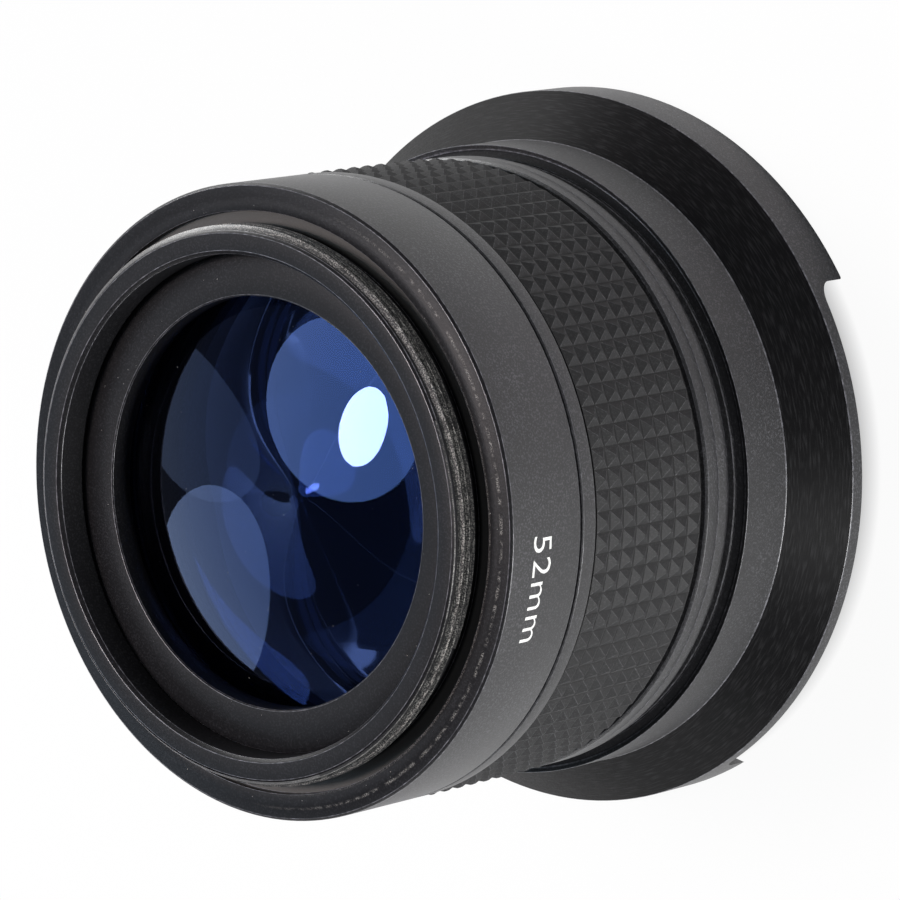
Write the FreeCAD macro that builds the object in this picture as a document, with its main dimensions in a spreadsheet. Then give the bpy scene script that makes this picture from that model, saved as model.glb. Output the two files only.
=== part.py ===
"""Wide-angle conversion lens: a front group in a petal hood and a macro section that unscrews from it.

The lens stands on the two petals of its hood.  Z runs up along the optical axis from the petals'
faces to the camera thread at the top, and the shallow gaps between the petals face X and -X.
All sizes are millimetres.
"""
import math
import os

import FreeCAD
import Part
import Sketcher

doc = FreeCAD.newDocument("conversion_lens")

# Radii grow outwards and heights upwards from a few driving sizes, so the rest follows when one changes.
DIMENSIONS = [
    # The camera thread and the collar round it
    ("thread_radius", 26.0, "major radius of the 52 mm camera thread"),
    ("thread_length", 2.0, "threaded length"),
    ("thread_lead", 0.5, "bevel that leads into the thread"),
    ("boss_height", 3.1, "boss above the collar's rear face"),
    ("boss_wall", 2.7, "boss wall, thread to bore"),
    ("mouth_bevel", 0.35, "bevel round the boss's mouth"),
    ("relief_depth", 0.7, "undercut below the thread"),
    ("trough_width", 1.05, "trough round the boss, out from the thread"),
    ("trough_depth", 0.6, "trough depth below the rear face"),
    ("collar_width", 3.6, "thread to the barrel's outside"),
    ("pad_width", 1.2, "raised inner band of the rear face"),
    ("pad_bevel", 0.3, "sloping edge of that band"),
    ("pad_height", 0.15, "height of that band"),
    ("edge_bevel", 0.25, "broken edge of the barrel's rear end"),
    ("fine_bevel", 0.12, "broken edge of the thin rings"),
    # Heights of the outside, from the petals' faces upwards
    ("petal_depth", 3.7, "petals' length past the gaps between them"),
    ("rim_land", 1.4, "straight rim behind the gaps"),
    ("flare_height", 4.5, "flare from rim to shoulder"),
    ("shoulder_height", 6.1, "straight shoulder, up to the bore's rear edge"),
    ("neck_height", 3.1, "grooved neck"),
    ("lip_height", 1.7, "lock ring"),
    ("lip_groove", 0.5, "open groove between lock ring and rubber"),
    ("grip_height", 15.35, "rubber sleeve"),
    ("band_groove", 0.55, "open groove between rubber and barrel band"),
    ("band_height", 1.8, "bare metal band above the rubber"),
    ("seam_gap", 0.3, "open seam between barrel and macro section"),
    ("macro_height", 9.75, "macro section's outside"),
    # The hood
    ("hood_overhang", 5.4, "rim beyond the barrel's radius"),
    ("hood_wall", 1.5, "petal wall"),
    ("shoulder_step", 0.9, "shoulder beyond the barrel's radius"),
    ("crest_drop", 0.22, "shoulder's rear edge below the bore's"),
    ("crest_width", 0.45, "flat crest round the shoulder's rear edge"),
    ("crest_fall", 0.2, "its fall inwards, to the cone that rises to the bore"),
    ("shoulder_wall", 1.26, "hood wall round the front cell"),
    ("stop_height", 1.4, "stop face inside the hood, above the rim's rear edge"),
    ("stop_width", 1.76, "width of that face"),
    ("skirt_height", 0.1, "petals' inner wall is straight up to this far above the gaps"),
    ("gap_half_width", 24.7, "half of the milled gap between the petals"),
    ("gap_root", 1.5, "rounding at the foot of a petal's end"),
    ("petal_corner", 0.3, "rounding of a petal's front corners"),
    ("baffle_steps", 4, "light-trap steps on the baffle ring"),
    ("baffle_inset", 0.84, "baffle ring's top edge, in from the front cell's outside"),
    # The front cell and its glass
    ("assembly_fit", 0.05, "radial room of screwed and slipped joints that stay together"),
    ("stack_fit", 0.04, "room between stacked pieces"),
    ("groove_depth", 0.7, "neck groove below the front cell's fit"),
    ("groove_floor", 0.6, "flat of the neck groove"),
    ("groove_lip", 0.2, "front cell's edge that shows behind the hood"),
    ("groove_round", 1.25, "rounding from groove to neck"),
    ("neck_socket", 1.02, "thread in the front cell's rear end, for the main barrel"),
    ("dome_stand", 0.5, "front glass stands out past the rim's rear edge"),
    ("dome_depth", 5.34, "rise of the front element's domed surface"),
    ("dome_thickness", 2.6, "front element on the axis"),
    ("bowl_rim", 5.3, "flat rim round the hollow rear surface of the front element"),
    ("dome_inset", 1.8, "front element's radius below the barrel's"),
    ("ring_thread", 0.35, "retaining thread outside the front element"),
    ("ring_width", 1.75, "front retaining ring's face"),
    ("ring_bevel", 0.8, "bevel on its inner edge"),
    ("ring_foot", 0.15, "its set-back above the hood's stop face"),
    ("ring_slope", 0.6, "fall of its seat along the dome"),
    ("ring_seat", 0.16, "room between its seat and the dome"),
    ("cushion_height", 0.4, "cushion ring behind the front element"),
    ("cushion_width", 4.4, "its width"),
    ("ledge_height", 0.8, "ledge that the cushion ring rests on"),
    ("ledge_width", 3.55, "its reach inwards"),
    # The main barrel and the second element
    ("seat_step", 1.1, "rubber seat below the barrel's radius"),
    ("spigot_step", 2.15, "front thread below the rubber seat"),
    ("spigot_wall", 2.35, "wall of that thread"),
    ("barrel_wall", 3.1, "main barrel wall at the second cell"),
    ("shelf_height", 0.45, "shelf above the lock ring where the second cell stops"),
    ("macro_thread_step", 1.45, "macro thread below the rubber seat"),
    ("seal_room", 0.8, "counterbore for the seal ring, each way"),
    ("seal_lift", 0.08, "seal ring above the counterbore's floor"),
    ("tooth_height", 0.44, "ridges of the rubber"),
    ("rubber_skin", 0.73, "rubber under the ridges"),
    ("rubber_rows", 8, "rows of ridges"),
    ("second_wall", 3.8, "wall of the second cell"),
    ("second_ledge", 1.5, "ledge under the second element"),
    ("second_shelf", 0.8, "thickness of that ledge"),
    ("second_front", 4.0, "depth of the second element's hollow front surface"),
    ("second_rear", 2.95, "depth of its hollow rear surface"),
    ("second_thickness", 2.0, "second element on the axis"),
    ("second_ring_height", 1.15, "second retaining ring"),
    ("second_ring_width", 1.7, "its face"),
    ("tube_steps", 5, "light-trap steps of the baffle tube"),
    ("tube_mouth", 2.8, "tube wall at its wide end"),
    ("tube_throat", 5.8, "tube wall at its narrow end"),
    ("tube_room", 0.1, "baffle tube below the macro thread"),
    ("screw_radius", 1.0, "set screws that hold the second cell"),
    ("screw_level", 4.6, "their height above the shelf"),
    ("screw_socket", 0.45, "their hexagon socket, centre to corner"),
    ("screw_socket_depth", 0.9, "depth of that socket"),
    ("screw_count", 3, "set screws round the barrel"),
    # The macro section
    ("running_fit", 0.05, "radial room of the macro thread"),
    ("macro_spigot", 4.6, "macro section's thread into the barrel"),
    ("spigot_room", 0.5, "macro thread's run-out below that spigot"),
    ("macro_seat", 0.7, "step in from the boss's bore to the macro glass"),
    ("macro_ring_sink", 0.1, "retaining ring above the collar's rear face"),
    ("macro_ring_height", 2.35, "macro retaining ring"),
    ("macro_ring_width", 4.05, "its face"),
    ("macro_ring_bevel", 0.6, "bevel on its outer edge"),
    ("macro_ring_drop", 0.25, "the same bevel along the axis"),
    ("crown_depth", 4.42, "rise of the crown glass towards the camera"),
    ("crown_share", 0.17, "crown glass at its edge, as a share of the cemented pair's edge"),
    ("joint_share", 0.44, "rise of the cemented face, as a share of the same edge"),
    ("hollow_share", 0.23, "hollow of the flint glass, as a share of the same edge"),
    ("macro_mouth", 1.35, "flared mouth of the spigot"),
    ("macro_ledge", 1.8, "ledge under the glass"),
    ("macro_shelf", 1.0, "thickness of that ledge"),
    ("spacer_height", 0.9, "spacer ring between ledge and flint"),
    ("spacer_width", 1.9, "its width"),
    ("macro_flare", 1.6, "widening at the spigot's open end"),
]

sheet = doc.addObject("Spreadsheet::Sheet", "Dims")
for row, (alias, value, note) in enumerate(DIMENSIONS, start=1):
    sheet.set(f"A{row}", note)
    sheet.set(f"B{row}", str(value))
    sheet.setAlias(f"B{row}", alias)
doc.recompute()


def add(*terms):
    """A sum of sheet aliases and earlier sums; a leading minus subtracts the term."""
    text = ""
    for term in terms:
        sign = "-" if term.startswith("-") else "+"
        body = term.lstrip("-")
        body = f"Dims.{body}" if body.isidentifier() else f"({body})"
        text += body if not text and sign == "+" else f" {sign} {body}"
    return text


def curve(depth, radius):
    """Radius of the sphere that rises by the given depth over the given radius."""
    return f"((({radius})^2 + ({depth})^2) / (2 * ({depth})))"


def sag(sphere, radius):
    """Rise of a sphere over the given radius."""
    return f"({sphere} - sqrt(({sphere})^2 - ({radius})^2))"


def scaled(term, share):
    return f"({term}) * {share:g}"


# Radii that several pieces share
R_BARREL = add("thread_radius", "collar_width")
R_HOOD = add(R_BARREL, "hood_overhang")
R_SHOULDER = add(R_BARREL, "shoulder_step")
R_HOOD_BORE = add(R_SHOULDER, "-shoulder_wall")
R_FRONT_CELL = add(R_HOOD_BORE, "-assembly_fit")
R_SKIRT = add(R_HOOD, "-hood_wall")
R_FRONT_GLASS = add(R_BARREL, "-dome_inset")
R_FRONT_BORE = add(R_FRONT_GLASS, "assembly_fit")
R_RING_THREAD = add(R_FRONT_BORE, "ring_thread")
R_SEAT = add(R_BARREL, "-seat_step")
R_SPIGOT = add(R_SEAT, "-spigot_step")
R_SPIGOT_BORE = add(R_SPIGOT, "-spigot_wall")
R_CELL_BORE = add(R_SEAT, "-barrel_wall")
R_MACRO_BORE = add(R_SEAT, "-macro_thread_step")
R_MACRO_THREAD = add(R_MACRO_BORE, "-running_fit")
R_SEAL_BORE = add(R_MACRO_BORE, "seal_room")
R_BOSS_BORE = add("thread_radius", "-boss_wall")

# Heights that several pieces share
Z_GAP = add("petal_depth")
Z_RIM = add(Z_GAP, "rim_land")
Z_FLARE = add(Z_RIM, "flare_height")
Z_SHOULDER = add(Z_FLARE, "shoulder_height")
Z_NECK = add(Z_SHOULDER, "neck_height")
Z_LIP = add(Z_NECK, "lip_height")
Z_RUBBER = add(Z_LIP, "lip_groove")
Z_RUBBER_TOP = add(Z_RUBBER, "grip_height")
Z_BAND = add(Z_RUBBER_TOP, "band_groove")
Z_BARREL_TOP = add(Z_BAND, "band_height")
Z_MACRO = add(Z_BARREL_TOP, "seam_gap")
Z_REAR = add(Z_MACRO, "macro_height")
Z_BOSS = add(Z_REAR, "boss_height")
Z_STOP = add(Z_RIM, "stop_height")
Z_SKIRT = add(Z_GAP, "skirt_height")
Z_CELL = add(Z_STOP, "assembly_fit")
Z_LEDGE_TOP = add(Z_NECK, "-neck_socket")
Z_LEDGE = add(Z_LEDGE_TOP, "-ledge_height")
Z_CUSHION = add(Z_LEDGE, "-stack_fit", "-cushion_height")
Z_GLASS_REAR = add(Z_CUSHION, "-stack_fit")
Z_DOME = add(Z_RIM, "-dome_stand")
Z_DOME_EDGE = add(Z_DOME, "dome_depth")
Z_BOWL = add(Z_DOME, "dome_thickness")
Z_SPIGOT = add(Z_LEDGE_TOP, "assembly_fit")
Z_SHELF = add(Z_LIP, "shelf_height")
Z_SECOND_LEDGE = add(Z_SPIGOT, "second_shelf")


def origin_plane(body, role):
    return next(o for o in body.Origin.OriginFeatures if o.Role == role)


def size_of(holder, expression):
    """The present number of an expression over the sheet."""
    result = holder.evalExpression(expression)
    return float(getattr(result, "Value", result))


def tie(sketch, kind, geometry, end, value, expression):
    """Holds one coordinate of a vertex to the sheet; the side it lies on stays as drawn."""
    axis = {"DistanceX": -2, "DistanceY": -1}[kind]
    if abs(value) < 1e-9:
        sketch.addConstraint(Sketcher.Constraint("PointOnObject", geometry, end, axis))
        return
    if value > 0:
        index = sketch.addConstraint(Sketcher.Constraint(kind, -1, 1, geometry, end, value))
        sketch.setExpression(f"Constraints[{index}]", expression)
    else:
        index = sketch.addConstraint(Sketcher.Constraint(kind, geometry, end, -1, 1, -value))
        sketch.setExpression(f"Constraints[{index}]", f"-({expression})")


def arc_between(start, finish, radius, side):
    """The short arc from start to finish; side is 1 where its centre lies left of the way, -1 right."""
    chord = finish - start
    reach = math.sqrt(max(radius ** 2 - (chord.Length / 2) ** 2, 0.0))
    left = FreeCAD.Vector(-chord.y, chord.x, 0).normalize()
    centre = start + chord * 0.5 + left * reach * side
    first = math.atan2(start.y - centre.y, start.x - centre.x)
    last = math.atan2(finish.y - centre.y, finish.x - centre.x)
    if side < 0:
        first, last = last, first
    if last < first:
        last += 2 * math.pi
    circle = Part.Circle(centre, FreeCAD.Vector(0, 0, 1), radius)
    return Part.ArcOfCircle(circle, first, last)


def outline(body, plane, name, steps):
    """A closed sketch through the steps: (x, y) is a corner, (x, y, radius, side) ends an arc there."""
    sketch = body.newObject("Sketcher::SketchObject", name)
    sketch.AttachmentSupport = [(origin_plane(body, plane), "")]
    sketch.MapMode = "FlatFace"
    corners = [FreeCAD.Vector(size_of(sketch, s[0]), size_of(sketch, s[1]), 0) for s in steps]
    ends = []
    for number, step in enumerate(steps):
        start, finish = corners[number - 1], corners[number]
        if len(step) == 2:
            sketch.addGeometry(Part.LineSegment(start, finish), False)
            ends.append((1, 2))
        else:
            radius, side = step[2], step[3]
            sketch.addGeometry(arc_between(start, finish, size_of(sketch, radius), side), False)
            ends.append((1, 2) if side > 0 else (2, 1))
    for number, step in enumerate(steps):
        following = (number + 1) % len(steps)
        sketch.addConstraint(
            Sketcher.Constraint("Coincident", number, ends[number][1], following, ends[following][0]))
        tie(sketch, "DistanceX", number, ends[number][1], corners[number].x, step[0])
        tie(sketch, "DistanceY", number, ends[number][1], corners[number].y, step[1])
        if len(step) == 4:
            index = sketch.addConstraint(Sketcher.Constraint("Radius", number, size_of(sketch, step[2])))
            sketch.setExpression(f"Constraints[{index}]", step[2])
    return sketch


def turned(name, steps):
    """A body turned about Z from a half section given as (radius, height) steps."""
    body = doc.addObject("PartDesign::Body", name)
    body.Label = name
    section = outline(body, "XZ_Plane", f"{name}_section", steps)
    turn = body.newObject("PartDesign::Revolution", f"{name}_turn")
    turn.Profile = section
    turn.ReferenceAxis = (section, ["V_Axis"])
    turn.Angle = 360.0
    section.Visibility = False
    body.Tip = turn
    return body


# The hood: rim, flare, shoulder and a low crest in one turned piece, open at the front
hood_bell = turned("hood_bell", [
    (R_SKIRT, "0"),
    (R_HOOD, "0"),
    (R_HOOD, Z_RIM),
    (R_SHOULDER, Z_FLARE),
    (R_SHOULDER, add(Z_SHOULDER, "-crest_drop")),
    (add(R_SHOULDER, "-crest_width"), add(Z_SHOULDER, "-crest_drop", "-crest_fall")),
    (R_HOOD_BORE, Z_SHOULDER),
    (R_HOOD_BORE, Z_STOP),
    (add(R_HOOD_BORE, "stop_width"), Z_STOP),
    (R_SKIRT, Z_SKIRT),
])

# One milled channel along X leaves the two petals and rounds their feet and corners
W_GAP = add("gap_half_width")
W_MOUTH = add(W_GAP, "petal_corner")
Z_BELOW = "-(Dims.petal_depth)"
gap_sketch = outline(hood_bell, "YZ_Plane", "petal_gap_section", [
    (W_MOUTH, Z_BELOW),
    (W_MOUTH, "0"),
    (W_GAP, add("petal_corner"), "Dims.petal_corner", -1),
    (W_GAP, add(Z_GAP, "-gap_root")),
    (add(W_GAP, "-gap_root"), Z_GAP, "Dims.gap_root", 1),
    (f"-({add(W_GAP, '-gap_root')})", Z_GAP),
    (f"-({W_GAP})", add(Z_GAP, "-gap_root"), "Dims.gap_root", 1),
    (f"-({W_GAP})", add("petal_corner")),
    (f"-({W_MOUTH})", "0", "Dims.petal_corner", -1),
    (f"-({W_MOUTH})", Z_BELOW),
])
doc.recompute()
uncut_volume = hood_bell.Shape.Volume
petal_gap = hood_bell.newObject("PartDesign::Pocket", "petal_gap")
petal_gap.Profile = gap_sketch
petal_gap.Type = "ThroughAll"
petal_gap.SideType = "Symmetric"
hood_bell.Tip = petal_gap
gap_sketch.Visibility = False

# The baffle ring lines the hood's inner cone with light-trap steps
R_BAFFLE = add(R_SKIRT, "-assembly_fit")
R_BAFFLE_TOP = add(R_HOOD_BORE, "stop_width", "-assembly_fit")
R_BAFFLE_IN = add(R_FRONT_CELL, "-baffle_inset")
Z_BAFFLE = add(Z_STOP, "-assembly_fit")
baffle = [
    (R_BAFFLE_IN, Z_BAFFLE),
    (R_BAFFLE_TOP, Z_BAFFLE),
    (R_BAFFLE, Z_SKIRT),
]
steps_count = int(sheet.baffle_steps)
step_run = add(R_BAFFLE, "-baffle_inset", f"-({R_BAFFLE_IN})")
step_rise = add(Z_BAFFLE, f"-({Z_SKIRT})")
for step in range(steps_count):
    inward = scaled(step_run, (step + 0.5) / steps_count)
    radius = f"{add(R_BAFFLE, '-baffle_inset')} - {inward}"
    baffle.append((radius, f"{Z_SKIRT} + {scaled(step_rise, step / (steps_count + 1))}"))
    baffle.append((radius, f"{Z_SKIRT} + {scaled(step_rise, (step + 1) / (steps_count + 1))}"))
baffle.append((R_BAFFLE_IN, f"{Z_SKIRT} + {scaled(step_rise, steps_count / (steps_count + 1))}"))
turned("hood_baffle", baffle)

# The front cell holds the front glass; its rear end is the grooved neck that shows behind the hood
R_GROOVE = add(R_FRONT_CELL, "-groove_depth")
Z_GROOVE = add(Z_SHOULDER, "groove_lip")
Z_GROOVE_TOP = add(Z_GROOVE, "groove_floor")
turned("front_cell", [
    (R_RING_THREAD, Z_CELL),
    (R_FRONT_CELL, Z_CELL),
    (R_FRONT_CELL, Z_GROOVE),
    (R_GROOVE, Z_GROOVE),
    (R_GROOVE, Z_GROOVE_TOP),
    (R_BARREL, add(Z_GROOVE_TOP, "groove_round"), "Dims.groove_round", 1),
    (R_BARREL, add(Z_NECK, "-stack_fit")),
    (add(R_SPIGOT, "assembly_fit"), add(Z_NECK, "-stack_fit")),
    (add(R_SPIGOT, "assembly_fit"), Z_LEDGE_TOP),
    (add(R_FRONT_BORE, "-ledge_width"), Z_LEDGE_TOP),
    (add(R_FRONT_BORE, "-ledge_width"), Z_LEDGE),
    (R_FRONT_BORE, Z_LEDGE),
    (R_FRONT_BORE, Z_DOME_EDGE),
    (R_RING_THREAD, Z_DOME_EDGE),
])

# The ring that screws in from the front, its seat sloped along the dome
R_RING = add(R_RING_THREAD, "-assembly_fit")
R_RING_IN = add(R_RING, "-ring_width")
Z_RING = add(Z_CELL, "ring_foot")
Z_RING_SEAT = add(Z_DOME_EDGE, "-ring_seat")
turned("front_retaining_ring", [
    (add(R_RING_IN, "ring_bevel"), Z_RING),
    (R_RING, Z_RING),
    (R_RING, Z_RING_SEAT),
    (R_RING_IN, add(Z_RING_SEAT, "-ring_slope")),
    (R_RING_IN, add(Z_RING, "ring_bevel")),
])

# The front element: domed towards the scene, deeply hollow behind
R_BOWL = add(R_FRONT_GLASS, "-bowl_rim")
turned("front_element", [
    ("0", Z_DOME),
    (R_FRONT_GLASS, Z_DOME_EDGE, curve("Dims.dome_depth", R_FRONT_GLASS), 1),
    (R_FRONT_GLASS, Z_GLASS_REAR),
    (R_BOWL, Z_GLASS_REAR),
    ("0", Z_BOWL, curve(add(Z_GLASS_REAR, f"-({Z_BOWL})"), R_BOWL), -1),
])

turned("front_cushion_ring", [
    (add(R_FRONT_GLASS, "-cushion_width"), Z_CUSHION),
    (add(R_FRONT_GLASS, "-assembly_fit"), Z_CUSHION),
    (add(R_FRONT_GLASS, "-assembly_fit"), add(Z_CUSHION, "cushion_height")),
    (add(R_FRONT_GLASS, "-cushion_width"), add(Z_CUSHION, "cushion_height")),
])

# The lock ring between neck and rubber
turned("lock_ring", [
    (add(R_SPIGOT, "assembly_fit"), Z_NECK),
    (R_BARREL, Z_NECK),
    (R_BARREL, add(Z_LIP, "-edge_bevel")),
    (add(R_BARREL, "-edge_bevel"), add(Z_LIP, "-stack_fit")),
    (add(R_SPIGOT, "assembly_fit"), add(Z_LIP, "-stack_fit")),
])

# The main barrel: threaded spigot below, rubber seat outside, thread for the macro section above
Z_SPIGOT_END = add(Z_MACRO, "-macro_spigot")
Z_CELL_TOP = add(Z_SPIGOT_END, "-spigot_room")
main_barrel = turned("main_barrel", [
    (R_SPIGOT_BORE, Z_SPIGOT),
    (R_SPIGOT, Z_SPIGOT),
    (R_SPIGOT, Z_LIP),
    (R_SEAT, Z_LIP),
    (R_SEAT, Z_BAND),
    (add(R_BARREL, "-fine_bevel"), Z_BAND),
    (R_BARREL, add(Z_BAND, "fine_bevel")),
    (R_BARREL, add(Z_BARREL_TOP, "-fine_bevel")),
    (add(R_BARREL, "-fine_bevel"), Z_BARREL_TOP),
    (R_SEAL_BORE, Z_BARREL_TOP),
    (R_SEAL_BORE, add(Z_BARREL_TOP, "-seal_room")),
    (R_MACRO_BORE, add(Z_BARREL_TOP, "-seal_room")),
    (R_MACRO_BORE, Z_CELL_TOP),
    (R_CELL_BORE, Z_CELL_TOP),
    (R_CELL_BORE, Z_SHELF),
    (R_SPIGOT_BORE, Z_SHELF),
])

# The rubber sleeve, ridged in rows round the barrel
R_RUBBER_IN = add(R_SEAT, "assembly_fit")
R_RUBBER_SKIN = add(R_RUBBER_IN, "rubber_skin")
R_RUBBER_TIP = add(R_RUBBER_SKIN, "tooth_height")
rubber = [(R_RUBBER_IN, Z_RUBBER), (R_RUBBER_SKIN, Z_RUBBER)]
row_count = int(sheet.rubber_rows)
for row in range(row_count):
    tip_height = f"{Z_RUBBER} + {scaled('Dims.grip_height', (row + 0.5) / row_count)}"
    top_height = f"{Z_RUBBER} + {scaled('Dims.grip_height', (row + 1) / row_count)}"
    rubber.append((R_RUBBER_TIP, tip_height))
    rubber.append((R_RUBBER_SKIN, top_height))
rubber.append((R_RUBBER_IN, Z_RUBBER_TOP))
turned("rubber_grip", rubber)

# The second cell drops in from the rear and carries the second element
R_NOSE = add(R_SPIGOT_BORE, "-assembly_fit")
R_FLANGE = add(R_CELL_BORE, "-assembly_fit")
R_SECOND_BORE = add(R_FLANGE, "-second_wall")
R_SECOND = add(R_SECOND_BORE, "-assembly_fit")
Z_SECOND = add(Z_SECOND_LEDGE, "stack_fit")
Z_SECOND_VERTEX = add(Z_SECOND, "second_front")
Z_SECOND_BACK = add(Z_SECOND_VERTEX, "second_thickness")
Z_SECOND_EDGE = add(Z_SECOND_BACK, "second_rear")
Z_SECOND_RING = add(Z_SECOND_EDGE, "stack_fit")
Z_SECOND_TOP = add(Z_SECOND_RING, "second_ring_height")
turned("second_cell", [
    (add(R_SECOND_BORE, "-second_ledge"), Z_SPIGOT),
    (R_NOSE, Z_SPIGOT),
    (R_NOSE, add(Z_SHELF, "stack_fit")),
    (R_FLANGE, add(Z_SHELF, "stack_fit")),
    (R_FLANGE, Z_SECOND_TOP),
    (R_SECOND_BORE, Z_SECOND_TOP),
    (R_SECOND_BORE, Z_SECOND_LEDGE),
    (add(R_SECOND_BORE, "-second_ledge"), Z_SECOND_LEDGE),
])

turned("second_element", [
    ("0", Z_SECOND_VERTEX),
    (R_SECOND, Z_SECOND, curve("Dims.second_front", R_SECOND), -1),
    (R_SECOND, Z_SECOND_EDGE),
    ("0", Z_SECOND_BACK, curve("Dims.second_rear", R_SECOND), -1),
])

turned("second_retaining_ring", [
    (add(R_SECOND, "-second_ring_width"), Z_SECOND_RING),
    (R_SECOND, Z_SECOND_RING),
    (R_SECOND, Z_SECOND_TOP),
    (add(R_SECOND, "-second_ring_width", "fine_bevel"), Z_SECOND_TOP),
    (add(R_SECOND, "-second_ring_width"), add(Z_SECOND_TOP, "-fine_bevel")),
])

# The baffle tube above it widens upwards in light-trap steps
Z_TUBE = add(Z_SECOND_TOP, "stack_fit")
Z_TUBE_TOP = add(Z_CELL_TOP, "-tube_room")
R_THROAT = add(R_FLANGE, "-tube_throat")
tube = [(R_THROAT, Z_TUBE), (R_FLANGE, Z_TUBE), (R_FLANGE, Z_TUBE_TOP)]
tube_count = int(sheet.tube_steps)
tube_run = add("tube_throat", "-tube_mouth")
tube_rise = add(Z_TUBE_TOP, f"-({Z_TUBE})")
for step in range(tube_count, 0, -1):
    radius = f"{R_THROAT} + {scaled(tube_run, step / tube_count)}"
    tube.append((radius, f"{Z_TUBE} + {scaled(tube_rise, (step + 1) / (tube_count + 1))}"))
    tube.append((radius, f"{Z_TUBE} + {scaled(tube_rise, step / (tube_count + 1))}"))
tube.append((R_THROAT, f"{Z_TUBE} + {scaled(tube_rise, 1 / (tube_count + 1))}"))
turned("baffle_tube", tube)

# The seal ring in the seam, round the macro section's thread
R_SEAL = add(R_SEAL_BORE, "-running_fit")
Z_SEAL = add(Z_BARREL_TOP, "-seal_room", "seal_lift")
Z_SEAL_TOP = add(Z_MACRO, "-running_fit")
turned("seam_seal_ring", [
    (R_MACRO_BORE, Z_SEAL),
    (R_SEAL, Z_SEAL),
    (R_SEAL, Z_SEAL_TOP),
    (R_MACRO_BORE, Z_SEAL_TOP),
])

# The macro section's housing: spigot below, collar, and the threaded boss for the camera side
R_MACRO_GLASS = add(R_BOSS_BORE, "-macro_seat")
R_MACRO_FIT = add(R_MACRO_GLASS, "assembly_fit")
R_MACRO_LEDGE = add(R_MACRO_FIT, "-macro_ledge")
Z_MACRO_RING_TOP = add(Z_REAR, "macro_ring_sink")
Z_MACRO_RING = add(Z_MACRO_RING_TOP, "-macro_ring_height")
R_MACRO_RING = add(R_BOSS_BORE, "-assembly_fit")
R_MACRO_RING_IN = add(R_MACRO_RING, "-macro_ring_width")
CROWN_CURVE = curve("Dims.crown_depth", R_MACRO_GLASS)
Z_CROWN_VERTEX = add(Z_MACRO_RING, "-stack_fit", sag(CROWN_CURVE, R_MACRO_RING_IN))
Z_CROWN_EDGE = add(Z_CROWN_VERTEX, "-crown_depth")
Z_MACRO_SHELF = add(Z_SPIGOT_END, "macro_mouth")
Z_MACRO_LEDGE = add(Z_MACRO_SHELF, "macro_shelf")
Z_SPACER = add(Z_MACRO_LEDGE, "stack_fit")
Z_SPACER_TOP = add(Z_SPACER, "spacer_height")
Z_FLINT_EDGE = add(Z_SPACER_TOP, "stack_fit")
PAIR_EDGE = add(Z_CROWN_EDGE, f"-({Z_FLINT_EDGE})")
JOINT_DEPTH = f"Dims.joint_share * ({PAIR_EDGE})"
HOLLOW_DEPTH = f"Dims.hollow_share * ({PAIR_EDGE})"
JOINT_CURVE = curve(JOINT_DEPTH, R_MACRO_GLASS)
FLINT_CURVE = curve(HOLLOW_DEPTH, R_MACRO_GLASS)
Z_JOINT_EDGE = f"{Z_CROWN_EDGE} - Dims.crown_share * ({PAIR_EDGE})"
Z_JOINT_VERTEX = f"{Z_JOINT_EDGE} - {JOINT_DEPTH}"
Z_FLINT_VERTEX = f"{Z_FLINT_EDGE} + {HOLLOW_DEPTH}"
R_PAD_IN = add("thread_radius", "trough_width")
R_PAD = add(R_PAD_IN, "pad_width")
R_RELIEF = add("thread_radius", "-relief_depth")
Z_TROUGH = add(Z_REAR, "-trough_depth")
Z_THREAD_TOP = add(Z_BOSS, "-thread_lead")
Z_THREAD = add(Z_THREAD_TOP, "-thread_length")
turned("macro_housing", [
    (add(R_MACRO_LEDGE, "macro_flare"), Z_SPIGOT_END),
    (add(R_MACRO_THREAD, "-edge_bevel"), Z_SPIGOT_END),
    (R_MACRO_THREAD, add(Z_SPIGOT_END, "edge_bevel")),
    (R_MACRO_THREAD, Z_MACRO),
    (add(R_BARREL, "-fine_bevel"), Z_MACRO),
    (R_BARREL, add(Z_MACRO, "fine_bevel")),
    (R_BARREL, add(Z_REAR, "-edge_bevel")),
    (add(R_BARREL, "-edge_bevel"), Z_REAR),
    (add(R_PAD, "pad_bevel"), Z_REAR),
    (R_PAD, add(Z_REAR, "pad_height")),
    (R_PAD_IN, add(Z_REAR, "pad_height")),
    (R_PAD_IN, Z_TROUGH),
    (R_RELIEF, Z_TROUGH),
    (R_RELIEF, add(Z_THREAD, "-relief_depth")),
    ("Dims.thread_radius", Z_THREAD),
    ("Dims.thread_radius", Z_THREAD_TOP),
    (add("thread_radius", "-thread_lead"), Z_BOSS),
    (add(R_BOSS_BORE, "mouth_bevel"), Z_BOSS),
    (R_BOSS_BORE, add(Z_BOSS, "-mouth_bevel")),
    (R_BOSS_BORE, add(Z_MACRO_RING, "-assembly_fit")),
    (R_MACRO_FIT, add(Z_MACRO_RING, "-assembly_fit")),
    (R_MACRO_FIT, Z_MACRO_LEDGE),
    (R_MACRO_LEDGE, Z_MACRO_LEDGE),
    (R_MACRO_LEDGE, Z_MACRO_SHELF),
])

turned("macro_retaining_ring", [
    (R_MACRO_RING_IN, Z_MACRO_RING),
    (R_MACRO_RING, Z_MACRO_RING),
    (R_MACRO_RING, add(Z_MACRO_RING_TOP, "-macro_ring_drop")),
    (add(R_MACRO_RING, "-macro_ring_bevel"), Z_MACRO_RING_TOP),
    (add(R_MACRO_RING_IN, "fine_bevel"), Z_MACRO_RING_TOP),
    (R_MACRO_RING_IN, add(Z_MACRO_RING_TOP, "-fine_bevel")),
])

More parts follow.
